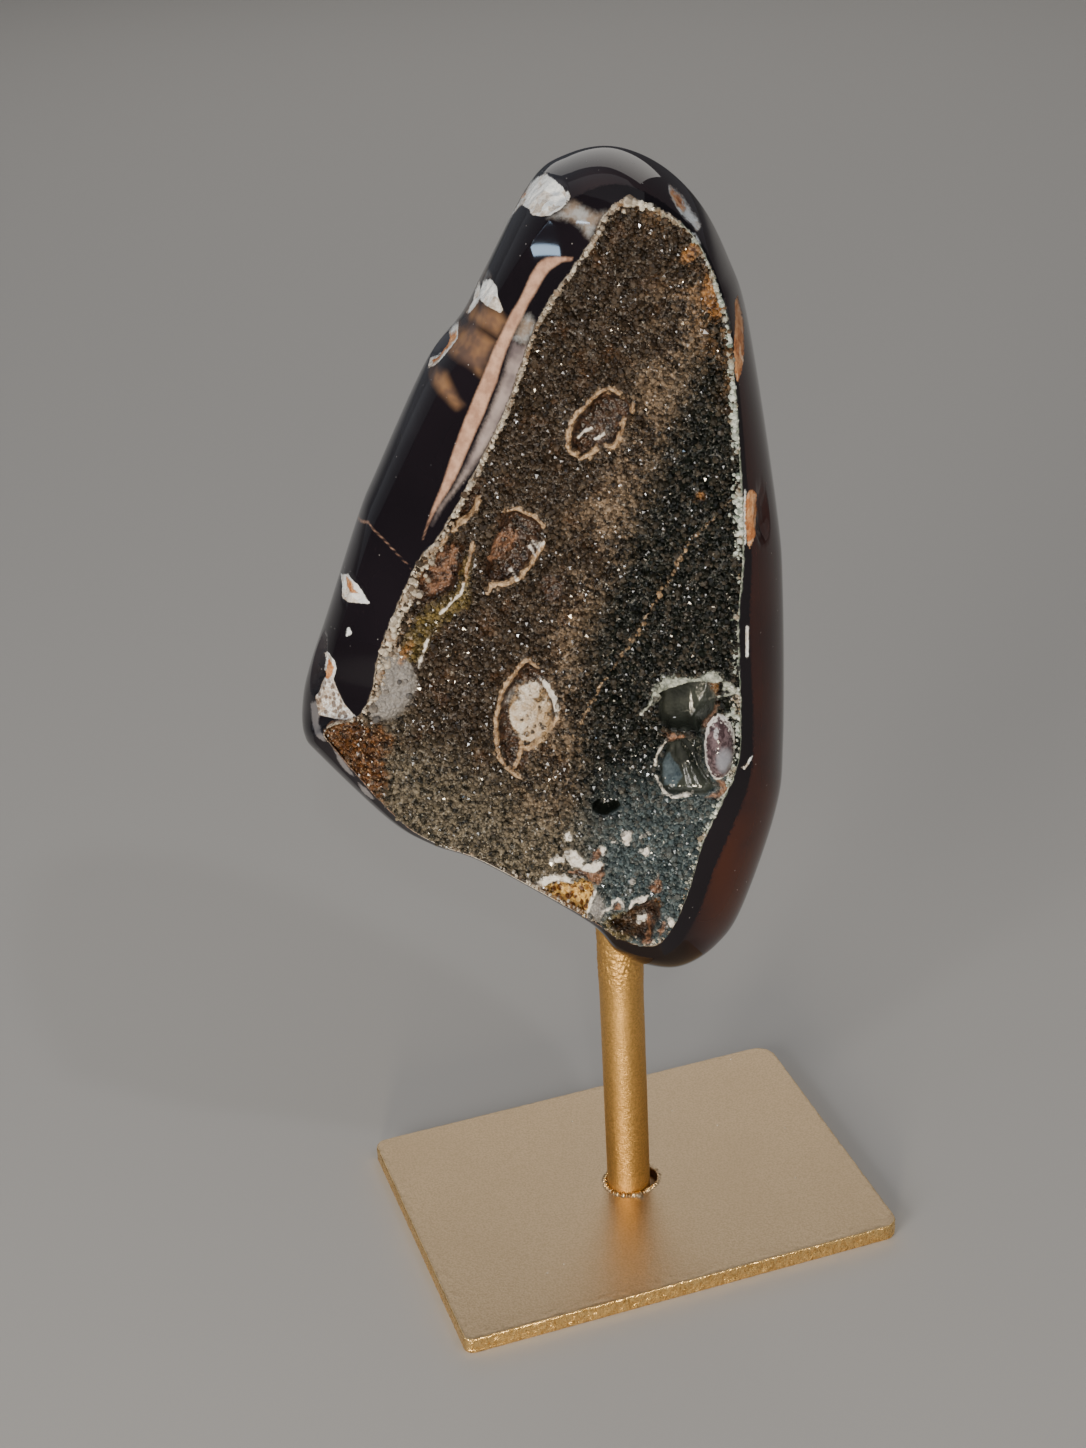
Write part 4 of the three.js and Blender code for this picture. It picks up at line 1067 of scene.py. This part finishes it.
# %% Relief of the face and the marks on it
HOLE_DEPTH = 3.4
RIM_HEIGHT, RIM_WIDTH = 0.95, 0.48
LINE_HEIGHT, LINE_WIDTH = 0.45, 0.4


def relief(uv):
    """Height of the ground over the plane of the face, in millimetres, and the marks on it."""
    across, up = uv.T
    wobble, crumbs = (ripple(ring_points(uv, 0), size, 3) for size in (2.6, 1.1))
    caves = [depth_in(uv, outline) + 0.12 * wobble for outline in (UPPER_CAVE, LOWER_CAVE, SIDE_CAVE)]
    cave = np.max(caves, axis=0)
    level = open_ground(uv, crumbs, np.clip(1 - cave / 0.7, 0, 1))

    pits = [depth_in(uv, floor) + 0.25 * wobble for floor in PIT_FLOORS]
    for pit, depth in zip(pits, PIT_DEPTHS):
        level -= depth * (1 - (1 - np.clip(pit / 2.4, 0, 1)) ** 2) * (0.85 + 0.3 * wobble)
    rim = to_lines(uv, TAN_RIMS) + 0.12 * crumbs
    level += RIM_HEIGHT * np.exp(-((rim / RIM_WIDTH) ** 2)) * (0.8 + 0.4 * wobble)
    line = to_lines(uv, PALE_LINES) + 0.1 * crumbs
    level += LINE_HEIGHT * np.exp(-((line / LINE_WIDTH) ** 2))
    fibrous = deepest(uv, FIBROUS) + 0.2 * wobble
    level += np.clip(fibrous, 0, 0.8) * (0.5 + 0.9 * ripple(ring_points(uv * (1.6, 0.7), 0), 0.9, 2))
    hole = depth_in(uv, DEEP_HOLE)
    level -= HOLE_DEPTH * np.clip((hole + 0.3 * wobble) / 1.2, 0, 1)
    faint = np.hypot(across - FAINT_PIT[0], (up - FAINT_PIT[1]) * 0.8)
    level -= 1.2 * np.clip(1 - faint / 3.2, 0, 1) * (0.8 + 0.5 * wobble)

    blue = depth_in(uv, BLUE_FACET)
    level -= pocket_walls(uv, *caves, blue)
    gold = depth_in(uv, GOLD_POCKET) + 0.2 * wobble
    level -= np.clip(gold * 1.3, 0, 2.6) * (1 + 0.4 * crumbs)
    low = depth_in(uv, BOTTOM_POCKET) + 0.15 * wobble
    level -= pocket(low, 1.8, [1.2 + (20.5 - up) * 0.5, np.full(len(uv), 3.4)]) * (1 + 0.2 * crumbs)
    pale = deepest(uv, PALE_FLAKES)
    level += 0.4 * np.clip((pale + 0.15) / 0.35, 0, 1) + 0.25 * np.clip(pale, 0, 1.5) * crumbs
    glass = deepest(uv, GREY_GLASS)
    level += 0.5 * np.clip(glass, 0, 1.2)
    return level, {
        "pit": np.max([*pits, low, 2.4 - faint + wobble], axis=0),
        "ring": np.maximum(0.34 - rim, 0.42 * crumbs - 0.04 - to_line(uv + 1.5 * wobble[:, None], TAN_VEIN)),
        "rim": 0.34 - np.minimum(rim, line + 0.1),
        "fibrous": fibrous,
        "olive": deepest(uv, OLIVE_STAINS) + 0.9,
        "quartz": glass,
        "cave": np.maximum(cave, np.minimum(hole, 1)),
        "blue": blue,
        "gold": gold,
        "ochre": deepest(uv, OCHRE_STAINS),
        "limonite": depth_in(uv, LIMONITE) + 1.2,
        "pale": np.maximum(pale, 0.14 - line),
    }


print("the ground's level is", relief(np.array([SAG_CENTRE], float))[0].round(2), "mm in mid face")

# %% Grid trimmed to the face
GRID_STEP = 0.4
GRID_LOW = np.array([-60.0, 7.0])
GRID_HIGH = np.array([29.0, 167.0])
BED_LOWEST = -9.5
BED_SKIRT = -4.5


def face_grid():
    span = GRID_HIGH - GRID_LOW
    columns, rows = (int(n) for n in np.round(span / GRID_STEP))
    bm = bmesh.new()
    bmesh.ops.create_grid(bm, x_segments=columns, y_segments=rows, size=0.5)
    bmesh.ops.scale(bm, vec=(span[0], span[1], 1), verts=bm.verts)
    bmesh.ops.translate(bm, vec=(*(GRID_LOW + span / 2), 0), verts=bm.verts)
    spots = np.array([v.co[:2] for v in bm.verts])
    outside = ~inside(spots, edge_curve)
    bmesh.ops.delete(bm, geom=[v for v, out in zip(bm.verts, outside) if out], context="VERTS")
    bmesh.ops.delete(bm, geom=[v for v in bm.verts if not v.link_faces], context="VERTS")
    rim = [e for e in bm.edges if e.is_boundary]
    for v in {v for e in rim for v in e.verts}:
        v.co[:2] = edge_curve[np.argmin(np.linalg.norm(edge_curve - v.co[:2], axis=1))]
    skirt = bmesh.ops.extrude_edge_only(bm, edges=rim)["geom"]
    for v in (g for g in skirt if isinstance(g, bmesh.types.BMVert)):
        v.co.z = -1
    return as_mesh(bm, "druse_bed")


def druse_bed():
    mesh = face_grid()
    points = coordinates(mesh)
    skirt = points[:, 2] < -0.5
    level, marks = relief(points[:, :2])
    points[:, 2] = np.where(skirt, BED_SKIRT, np.maximum(level, BED_LOWEST))
    set_coordinates(mesh, points)
    for name, values in marks.items():
        note(mesh, name, values)
    finish_piece(mesh, "druse_bed", druse_ground, "druzy_crust", matrix=face_to_object)


druse_bed()

# %% [markdown]
# ## Thousands of crystals
# A quartz point is a six-sided prism with a six-sided pyramid on top. One is modelled, and numbers
# from a seeded generator place, lean, turn and size the copies, which are joined in a few meshes.
# The smooth walls of the pockets and the floors of the ring pits carry none.

# %% One crystal and its copies
def crystal_shape():
    bm = bmesh.new()
    bmesh.ops.create_cone(bm, cap_ends=True, cap_tris=False, segments=6, radius1=1, radius2=1, depth=1.4)
    crown = max(bm.faces, key=lambda face: face.calc_center_median().z)
    tip = bmesh.ops.poke(bm, faces=[crown])["verts"]
    bmesh.ops.translate(bm, vec=(0, 0, 0.85), verts=tip)
    return as_mesh(bm, "crystal")


def bead_shape():
    bm = bmesh.new()
    bmesh.ops.create_icosphere(bm, subdivisions=1, radius=1)
    return as_mesh(bm, "bead")


def copies(shape, places, sizes, leans, turns):
    """One mesh with a copy of shape at each place, leaning and turned as given."""
    base = coordinates(shape)
    faces = [list(f.vertices) for f in shape.polygons]
    count = len(places)
    c, s = np.cos(turns), np.sin(turns)
    spin = np.zeros((count, 3, 3))
    spin[:, 0, 0] = spin[:, 1, 1] = c
    spin[:, 1, 0], spin[:, 0, 1], spin[:, 2, 2] = s, -s, 1
    axis = np.column_stack([leans, np.ones(count)])
    axis /= np.linalg.norm(axis, axis=1)[:, None]
    side = np.cross(axis, (0.0, 1.0, 0.0))
    side /= np.linalg.norm(side, axis=1)[:, None]
    tilt = np.stack([side, np.cross(axis, side), axis], axis=2)
    points = np.einsum("nij,njk,nvk->nvi", tilt, spin, base[None] * sizes[:, None, :])
    points += places[:, None, :]
    mesh = bpy.data.meshes.new("copies")
    starts = range(0, count * len(base), len(base))
    mesh.from_pydata(points.reshape(-1, 3).tolist(), [], [[v + n for v in f] for n in starts for f in faces])
    return mesh


def give_marks(mesh, per_copy, marks, tone):
    for name, values in marks.items():
        note(mesh, name, np.repeat(values, per_copy))
    note(mesh, "tone", np.repeat(tone, per_copy))


print("one crystal has", len(crystal_shape().polygons), "faces")

# %% Crystals over the whole face
CRYSTAL_SPACING = 0.86
CRYSTAL_WIDTH, WIDTH_SPREAD = 0.42, 0.24
CRYSTAL_LEAN = 0.33
dice = np.random.RandomState(7301)


def crystal_field():
    spots = np.stack(np.meshgrid(np.arange(GRID_LOW[0], GRID_HIGH[0], CRYSTAL_SPACING),
                                 np.arange(GRID_LOW[1], GRID_HIGH[1], CRYSTAL_SPACING * 0.87)), -1)
    spots[1::2, :, 0] += CRYSTAL_SPACING / 2
    spots = spots.reshape(-1, 2)
    spots += dice.uniform(-0.36, 0.36, spots.shape) * CRYSTAL_SPACING
    spots = spots[inside(spots, edge_curve)]
    level, marks = relief(spots)
    bare = (marks["cave"] > 0) | (marks["pale"] > 0.1) | (marks["fibrous"] > 0) | (marks["rim"] > -0.2)
    bare |= (np.maximum(marks["pit"], marks["ochre"]) > 0.3) & (dice.uniform(size=len(spots)) < 0.85)
    bare |= (marks["quartz"] > 0) & (dice.uniform(size=len(spots)) < 0.97)
    print((~bare).sum(), "crystals grow,", bare.sum(), "places stay bare")
    return spots[~bare], level[~bare], {name: values[~bare] for name, values in marks.items()}


def plant_crystals():
    spots, level, marks = crystal_field()
    count = len(spots)
    width = np.exp(dice.normal(math.log(CRYSTAL_WIDTH), WIDTH_SPREAD, count))
    width *= 1 + 0.5 * (marks["quartz"] > 0)
    height = width * dice.uniform(0.75, 1.35, count)
    leans = dice.normal(0, CRYSTAL_LEAN, (count, 2))
    turns = dice.uniform(0, math.pi / 3, count)
    tone = dice.uniform(0, 1, count)
    places = np.column_stack([spots, level + 0.05 + 0.1 * dice.normal(size=count)])
    sizes = np.column_stack([width, width * dice.uniform(0.8, 1.2, count), height])
    shape = crystal_shape()
    middle = np.median(spots[:, 1])
    lower = spots[:, 1] < middle
    for name, part in (("crystals_lower", lower), ("crystals_upper", ~lower)):
        mesh = copies(shape, places[part], sizes[part], leans[part], turns[part])
        give_marks(mesh, len(shape.vertices), {k: v[part] for k, v in marks.items()}, tone[part])
        finish_piece(mesh, name, druse_points, smooth=False, matrix=face_to_object)


plant_crystals()

# %% Pale crystals along the edge
EDGE_COUNT = 3600
EDGE_LEAN = 0.45
EDGE_ROWS = [  # for each rib: its share of crystals, their reach inwards and their size
    (0.5, 0.9, 0.3), (0.6, 0.7, 0.3), (0.9, 0.3, 0.34), (0.5, 0.2, 0.26), (0.4, 0.2, 0.26),
    (0.6, 0.4, 0.36), (1, 0.6, 0.44), (1, 0.5, 0.38), (0.9, 0.3, 0.3), (0.9, 0.2, 0.28),
    (0.9, 0.2, 0.26), (0.9, 0.2, 0.26), (1, 0.4, 0.3), (1, 1.1, 0.4), (1, 2.3, 0.55),
    (0.7, 0.9, 0.34), (0.3, 0.2, 0.3), (0.1, 0.2, 0.2), (0.05, 0.2, 0.2), (0.05, 0.2, 0.2),
    (0.1, 0.2, 0.2), (0.25, 0.3, 0.22), (0.3, 0.4, 0.24), (0.3, 0.4, 0.24), (0.3, 0.4, 0.24),
    (0.3, 0.3, 0.22), (0.4, 0.3, 0.22), (0.4, 0.4, 0.24), (0.35, 0.5, 0.26), (0.4, 0.8, 0.3),
]


def edge_crystals():
    walked = np.concatenate([[0], np.cumsum(edge_steps)])
    t = np.interp(dice.uniform(0, walked[-1], EDGE_COUNT), walked, np.linspace(0, 1, len(walked)))
    ribs = np.arange(len(RIBS) + 1) / len(RIBS)
    cover, spread, size = (np.interp(t, ribs, [*row, row[0]]) for row in zip(*EDGE_ROWS))
    patchy = np.clip(1 + 1.5 * ripple(ring_points(rib_at(t)[:, :2], 3.0), 5.0, 3), 0.1, 1.6)
    stands = dice.uniform(size=EDGE_COUNT) < cover * patchy
    t, spread, size = t[stands], spread[stands], size[stands]
    inward = inward_at(t)
    reach = np.abs(dice.normal(0, 1, len(t))) * spread + 0.1
    width = size * np.exp(dice.normal(0, 0.3, len(t)))
    rise = -0.5 - 0.3 * reach + 0.12 * dice.normal(size=len(t))
    places = np.column_stack([rib_at(t)[:, :2] + inward * reach[:, None], rise])
    beads = (dice.uniform(size=len(t)) < 0.15) | ((spread > 1.0) & (dice.uniform(size=len(t)) < 0.7))
    tone = np.clip(dice.normal(0.5, 0.3, len(t)), 0, 1)
    turns = dice.uniform(0, math.pi / 3, len(t))
    leans = dice.normal(0, EDGE_LEAN, (len(t), 2)) - inward * 0.3
    kinds = [("edge_points", crystal_shape(), ~beads, 1.1), ("edge_beads", bead_shape(), beads, 0.8)]
    for name, shape, part, tall in kinds:
        sizes = np.column_stack([width, width, width * tall])[part]
        mesh = copies(shape, places[part], sizes, leans[part], turns[part])
        note(mesh, "tone", np.repeat(tone[part], len(shape.vertices)))
        finish_piece(mesh, name, rim_points, smooth=name == "edge_beads", matrix=face_to_object)


edge_crystals()

# %% [markdown]
# ## The lump of chalcedony
# Beside the pockets a rounded lump breaks out of the edge: glassy, smoky purple in the middle and
# white round its foot, with a painted highlight, a pale bluish patch, on its lower right. It starts as an
# icosphere, is stretched to an oval and dented by noise.

# %% Lump
LUMP_PLACE = (21.9, 54.4, -2.2)
LUMP_HALF = (3.2, 7.6, 4.4)
# Place and half size of the painted highlight on the lump.
PAINTED_HIGHLIGHT_PLACE = (22.7, 52.6)
PAINTED_HIGHLIGHT_HALF = (1.5, 2.6)


def lump_finish():
    f = Finish("chalcedony_lump", Roughness=0.06, IOR=1.54)
    across, up, _, place = f.on_face()
    fine = f.noise(place, 1.3, 3, 0.6)

    def oval(centre, half):
        return ((across - centre[0]) / half[0]) ** 2 + ((up - centre[1]) / half[1]) ** 2

    smoke = f.noise(place, 0.7, 4, 0.7, 1.0).rise(0.42, 0.62)
    colour = f.mix(smoke, (0.045, 0.028, 0.033), (0.15, 0.105, 0.12))
    # A painted highlight: a pale bluish oval on the lower right of the lump, where a lamp's reflection would
    # be.
    painted_highlight = oval(PAINTED_HIGHLIGHT_PLACE, PAINTED_HIGHLIGHT_HALF) + fine * 0.8
    colour = f.mix(painted_highlight.rise(2.4, 0.4) * 0.75, colour, (0.3, 0.32, 0.38))
    foot = oval(LUMP_PLACE, LUMP_HALF) + fine * 0.9
    colour = f.mix(foot.rise(1.12, 1.3), colour, (0.8, 0.77, 0.77))
    f.feed(Base_Color=colour)
    f.bump(fine, 0.12, 0.0006)
    return f.material


def make_lump():
    bm = bmesh.new()
    bmesh.ops.create_icosphere(bm, subdivisions=6, radius=1)
    mesh = as_mesh(bm, "lump")
    ball = coordinates(mesh)
    swell = 1 + 0.1 * ripple(ball * LUMP_HALF, 4.0, 2) + 0.012 * ripple(ball * LUMP_HALF, 1.2, 2)
    set_coordinates(mesh, ball * LUMP_HALF * swell[:, None] + LUMP_PLACE)
    finish_piece(mesh, "chalcedony_lump", lump_finish(), matrix=face_to_object)


make_lump()

# %% [markdown]
# ## The gilt stand
# Plate and post are mild steel under thick gold paint. The paint is satin, finely speckled on the
# flat and wrinkled on the edges, and the hole was drilled a little large and off centre, so a dark
# gap shows beside the post and a ragged burr stands round it.

# %% Gold paint
def gilt_finish(name, tint, dark, stretch, rough, grain, edges=None):
    """Speckled gold paint with fine hairs along stretch; if edges is given, the sides get a scratched gold
    that is brighter and warmer than the top, partly painted highlight.
    """
    f = Finish(name, Metallic=1.0)
    place = f.in_mm()
    speck = f.noise(place, 2.2, 3, 0.6)
    cloud = f.noise(place, 0.06, 3, 0.55)
    hairs = f.noise(f.in_mm(stretch), 1.4, 2, 0.6, 0.6)
    colour = f.mix(speck.rise(0.35, 0.62), dark, tint)
    colour = f.mix(cloud.rise(0.4, 0.75) * 0.25, colour, dark)
    worn = f.cells(place, 0.16).rise(0.045, 0.03)
    colour = f.mix(worn * 0.8, colour, (0.9, 0.8, 0.62))
    bumps = speck * 0.5 + hairs * grain + worn
    shine = (speck * 0.12 + hairs * 0.1 + rough) - worn * 0.15
    if edges:
        # Painted highlight, in part: the plate's sides, its arris and the burr ring round the hole get a
        # brighter, more saturated gold than the top of the same paint, as if lit from the front.
        side = f.attribute("side")
        scratched = f.noise(f.in_mm((1.0, 1.0, 0.4)), 2.0, 4, 0.7, 1.5)
        colour = f.mix(side, colour, f.mix(scratched.rise(0.36, 0.56), (0.6, 0.35, 0.1), edges))
        wrinkles = f.noise(f.in_mm((1.0, 1.0, 0.5)), 1.3, 5, 0.7, 1.5)
        bumps = bumps + side * wrinkles * 18
        shine = shine - side * 0.12
    f.feed(Base_Color=colour, Roughness=shine)
    f.bump(bumps, 0.3, 0.0002)
    return f.material


gilt_plate = gilt_finish("gilt_plate", tint=(0.63, 0.475, 0.3), dark=(0.51, 0.375, 0.23),
                         stretch=(1.0, 1.0, 1.0), rough=0.27, grain=0.5, edges=(1.0, 0.69, 0.29))
gilt_post = gilt_finish("gilt_post", tint=(0.8, 0.48, 0.16), dark=(0.62, 0.36, 0.11),
                        stretch=(1.0, 1.0, 3.2), rough=0.33, grain=2.2)
print("the plate's paint uses", len(gilt_plate.node_tree.nodes), "nodes")

# %% Outline of the plate
PLATE_HALF = (50.0, 36.0)
PLATE_THICKNESS = 4.0
PLATE_ARRIS = 0.45
PLATE_CORNERS = [4.5, 2.6, 2.2, 3.2]  # back right, back left, front left, front right
SOCKET_FLOOR = 1.0
POST_RADIUS = 4.9
HOLE_MARGIN = 0.06
HOLE_GAP = 1.85  # how much wider the hole is at its right
GAP_NARROWING = 2.5


def plate_corner(turn, radius, inset):
    signs = [(1, 1), (-1, 1), (-1, -1), (1, -1)][turn]
    bearings = np.linspace(turn, turn + 1, 9) * math.pi / 2
    radius = max(radius, inset + 0.01)
    centre = np.array(signs) * (np.array(PLATE_HALF) - radius)
    return centre + (radius - inset) * np.column_stack([np.cos(bearings), np.sin(bearings)])


def plate_outline(t, inset=0.0):
    """The rounded rectangle, evenly walked once round from the middle of the right side."""
    path = np.vstack([plate_corner(k, radius, inset) for k, radius in enumerate(PLATE_CORNERS)])
    start = np.array([[PLATE_HALF[0] - inset, 0.0]])
    path = np.vstack([start, path, start])
    walked = np.concatenate([[0], np.cumsum(np.linalg.norm(np.diff(path, axis=0), axis=1))])
    spots = np.mod(t, 1) * walked[-1]
    return np.column_stack([np.interp(spots, walked, path[:, k]) for k in (0, 1)])


def plate_ring(inset, z):
    return lambda t: ring_points(plate_outline(t, inset), z)


def hole_radius(toward_gap):
    return POST_RADIUS + HOLE_MARGIN + HOLE_GAP * np.clip(toward_gap, 0, 1) ** GAP_NARROWING


def round_ring(share, margin, z):
    """A ring round the hole, which hugs the post except at its right, where a gap was left."""
    def ring(t):
        toward = plate_outline(t)
        toward = toward / np.linalg.norm(toward, axis=1)[:, None]
        radius = hole_radius(toward @ (0.98, 0.17))
        return ring_points(toward * (share * radius + margin)[:, None], z)
    return ring


print("the hole is", 2 * (POST_RADIUS + HOLE_MARGIN) + HOLE_GAP, "mm across")

# %% Plate
SPIKE_BEARING = -1.54
BURR_LIMIT = 0.68


def bump_at(distance, width):
    """A smooth hump, 1 high where distance is 0."""
    return np.exp(-(distance / width) ** 2)


def make_plate():
    top = PLATE_THICKNESS
    stations = [
        (0.0, round_ring(0.01, 0, SOCKET_FLOOR)),
        (0.03, round_ring(1, 0, SOCKET_FLOOR)),
        (0.07, round_ring(1, 0, top)),
        (0.15, round_ring(1, 1.8, top)),
        (0.45, plate_ring(4.0, top)),
        (0.58, plate_ring(PLATE_ARRIS, top)),
        (0.61, plate_ring(PLATE_ARRIS * 0.3, top - PLATE_ARRIS * 0.3)),
        (0.64, plate_ring(0.02, top - PLATE_ARRIS)),
        (0.80, plate_ring(0.02, PLATE_ARRIS)),
        (0.83, plate_ring(PLATE_ARRIS * 0.3, PLATE_ARRIS * 0.3)),
        (0.86, plate_ring(PLATE_ARRIS, 0)),
        (1.0, lambda t: ring_points(np.zeros((len(t), 2)), 0)),
    ]
    mesh, t, p = wrapped(760, 96, lambda t, p: along_stations(t, p, stations))
    points = coordinates(mesh)
    bearing = np.arctan2(points[:, 1], points[:, 0])
    from_hole = np.linalg.norm(points[:, :2], axis=1) - hole_radius(np.cos(bearing - 0.17))
    ragged = ripple(np.column_stack([np.cos(bearing) * 14, np.sin(bearing) * 14, np.full(len(t), 2)]), 1, 4)
    torn = np.clip(0.75 - 0.6 * np.cos(bearing - 0.5), 0.2, 1)
    spike = bump_at(np.mod(bearing - SPIKE_BEARING + math.pi, 2 * math.pi) - math.pi, 0.1)
    burr = torn * np.clip(0.36 + 1.4 * ragged, 0.02, 1.4) * bump_at(from_hole - 0.25, 0.42)
    burr += 1.4 * spike * bump_at(from_hole - 0.3, 1.1)
    on_top = (p > 0.069) & (p < 0.3)
    points[:, 2] += np.where(on_top, np.minimum(burr, BURR_LIMIT), 0)
    side = np.clip(1 - np.abs(p - 0.72) / 0.14, 0, 1) ** 0.5
    # The burr ring shares the sides' brighter gold, partly painted highlight.
    ring = bump_at(from_hole - 0.2, 0.5) * on_top * np.clip(torn * (0.6 + 2 * ragged) + spike, 0, 1)
    note(mesh, "side", np.maximum(np.clip((p - 0.585) / 0.03, 0, 1) * (p < 0.87), ring))
    wrinkle = ripple(points * (1, 1, 0.6), 1.6, 3) * 0.3 + ripple(points, 6.0, 2) * 0.12
    outward = points[:, :2] / np.linalg.norm(points[:, :2], axis=1).clip(1)[:, None]
    points[:, :2] -= outward * (side * np.abs(wrinkle))[:, None]
    near_rim = np.where((p > 0.45) & (p < 0.64), (p - 0.45) / 0.13, 0).clip(0, 1)
    points[:, 2] -= near_rim * np.abs(ripple(points, 2.2, 3)) * 0.1
    set_coordinates(mesh, points)
    print("the burr is", round(float(burr.max()), 2), "mm high before it is trimmed")
    finish_piece(mesh, "plate_body", gilt_plate, "base_plate")


make_plate()

# %% Post
POST_FOOT = 1.3
POST_TOP = 86.0
PAINT_DEPTH = 0.1
WRINKLES_START = 54


def post_ring(radius, z):
    def ring(t):
        turn = t * 2 * math.pi
        return ring_points(radius * np.column_stack([np.cos(turn), np.sin(turn)]), z)
    return ring


def make_post():
    core = POST_RADIUS - PAINT_DEPTH
    stations = [(0.0, post_ring(0.0, POST_TOP)), (0.03, post_ring(core, POST_TOP)),
                (0.2, post_ring(core, 68)), (0.97, post_ring(core, POST_FOOT)),
                (1.0, post_ring(0.0, POST_FOOT))]
    mesh, t, p = wrapped(180, 300, lambda t, p: along_stations(t, p, stations))
    points = coordinates(mesh)
    normals = coordinates(mesh, "normal")
    skin = ripple(points, 1.3, 3) * 0.025 + ripple(points, 6.0, 2) * 0.03
    top = np.clip((points[:, 2] - WRINKLES_START) / 9.0, 0, 1) ** 1.5
    skin += top * (0.34 * np.abs(ripple(points * (1, 1, 1.6), 1.1, 3)) + 0.02)
    wall = (p > 0.031) & (p < 0.969)
    points += normals * np.where(wall, skin, 0)[:, None]
    set_coordinates(mesh, points)
    finish_piece(mesh, "post_rod", gilt_post, "post")


make_post()

# %% [markdown]
# ## Floor, light and camera
# A pale floor and soft light show the object plainly. The main softbox hangs to the left, a broad one
# above, and dim ones behind and at the right keep the dark polish readable. A small warm lamp low in
# front draws the bright line down the post. A narrow bluish one makes the flash on the upper bevel,
# and two small lamps give the crystals their glints.

# %% Floor
def make_floor():
    f = Finish("pale_floor", Roughness=0.75, Base_Color=(0.52, 0.505, 0.485, 1))
    bm = bmesh.new()
    bmesh.ops.create_grid(bm, x_segments=1, y_segments=1, size=3)
    mesh = as_mesh(bm, "floor")
    mesh.materials.append(f.material)
    floor = bpy.data.objects.new("floor", mesh)
    bpy.context.scene.collection.objects.link(floor)


make_floor()
print("the floor lies under the plate at z = 0")

# %% Lights
def lamp(name, place, target, power, size, colour=(1, 1, 1), height=None, along=None):
    light = bpy.data.lights.new(name, "AREA")
    light.energy = power
    light.color = colour
    light.shape = "RECTANGLE"
    light.size = size
    light.size_y = height or size
    item = bpy.data.objects.new(name, light)
    facing = (Vector(place) - Vector(target)).normalized()
    side = Vector(along or (-facing.y, facing.x, 0.0))
    side = (side - side.dot(facing) * facing).normalized()
    turned = Matrix((side, facing.cross(side), facing)).transposed()
    item.matrix_world = Matrix.Translation(place) @ turned.to_4x4()
    bpy.context.scene.collection.objects.link(item)


CENTRE = (0, 0, 0.13)
lamp("key", (-0.86, -0.66, 0.42), CENTRE, 7.2, 0.45, (1.0, 0.96, 0.91))
lamp("top", (-0.2, 0.0, 1.5), CENTRE, 6, 2.2, (0.98, 0.98, 1.0))
lamp("front", (-0.33, -0.66, 0.06), (0, 0, 0.05), 4.4, 0.1, (1.0, 0.87, 0.66), 0.1)
lamp("back", (0.43, 1.35, 0.88), (0, 0, 0), 3.8, 1.3, (1.0, 0.96, 0.9), 0.8)
lamp("rim_left", (-0.9, 0.75, 0.5), CENTRE, 0.5, 0.9, (0.86, 0.92, 1.0))
lamp("fill_right", (0.9, -0.3, 0.45), CENTRE, 1.1, 0.9, (1.0, 0.95, 0.9))
lamp("flash", (-0.5753, -0.0876, 0.3984), (-0.009, 0.001, 0.221), 0.03, 0.05, (0.55, 0.76, 1.0), 0.006,
     (0.35, -0.73, 0.57))
lamp("glint_a", (-0.25, -0.9, 0.75), CENTRE, 0.6, 0.035)
lamp("glint_b", (0.3, -0.52, 0.92), CENTRE, 0.7, 0.05)

world = bpy.data.worlds.new("studio")
world.use_nodes = True
background = world.node_tree.nodes["Background"]
background.inputs["Color"].default_value = (0.55, 0.57, 0.6, 1)
background.inputs["Strength"].default_value = 0.14
bpy.context.scene.world = world
print(len(bpy.data.lights), "lamps")

# %% Camera
IMAGE = (1086, 1448)
FOCAL_PIXELS = 2379.5
CAMERA_PLACE = Vector((-141.3, -402.39, 348.75)) * MM
CAMERA_AZIMUTH = math.radians(-17.489)
CAMERA_ELEVATION = math.radians(28.009)
CAMERA_ROLL = math.radians(-3.074)

lens = bpy.data.cameras.new("camera")
lens.sensor_width = 36
lens.lens = lens.sensor_width * FOCAL_PIXELS / max(IMAGE)
camera = bpy.data.objects.new("camera", lens)
forward = Vector((-math.sin(CAMERA_AZIMUTH) * math.cos(CAMERA_ELEVATION),
                  math.cos(CAMERA_AZIMUTH) * math.cos(CAMERA_ELEVATION), -math.sin(CAMERA_ELEVATION)))
aim = forward.to_track_quat("-Z", "Y").to_matrix().to_4x4()
camera.matrix_world = Matrix.Translation(CAMERA_PLACE) @ aim @ Matrix.Rotation(CAMERA_ROLL, 4, "Z")
bpy.context.scene.collection.objects.link(camera)
bpy.context.scene.camera = camera
print("camera looks along", [round(n, 3) for n in forward])
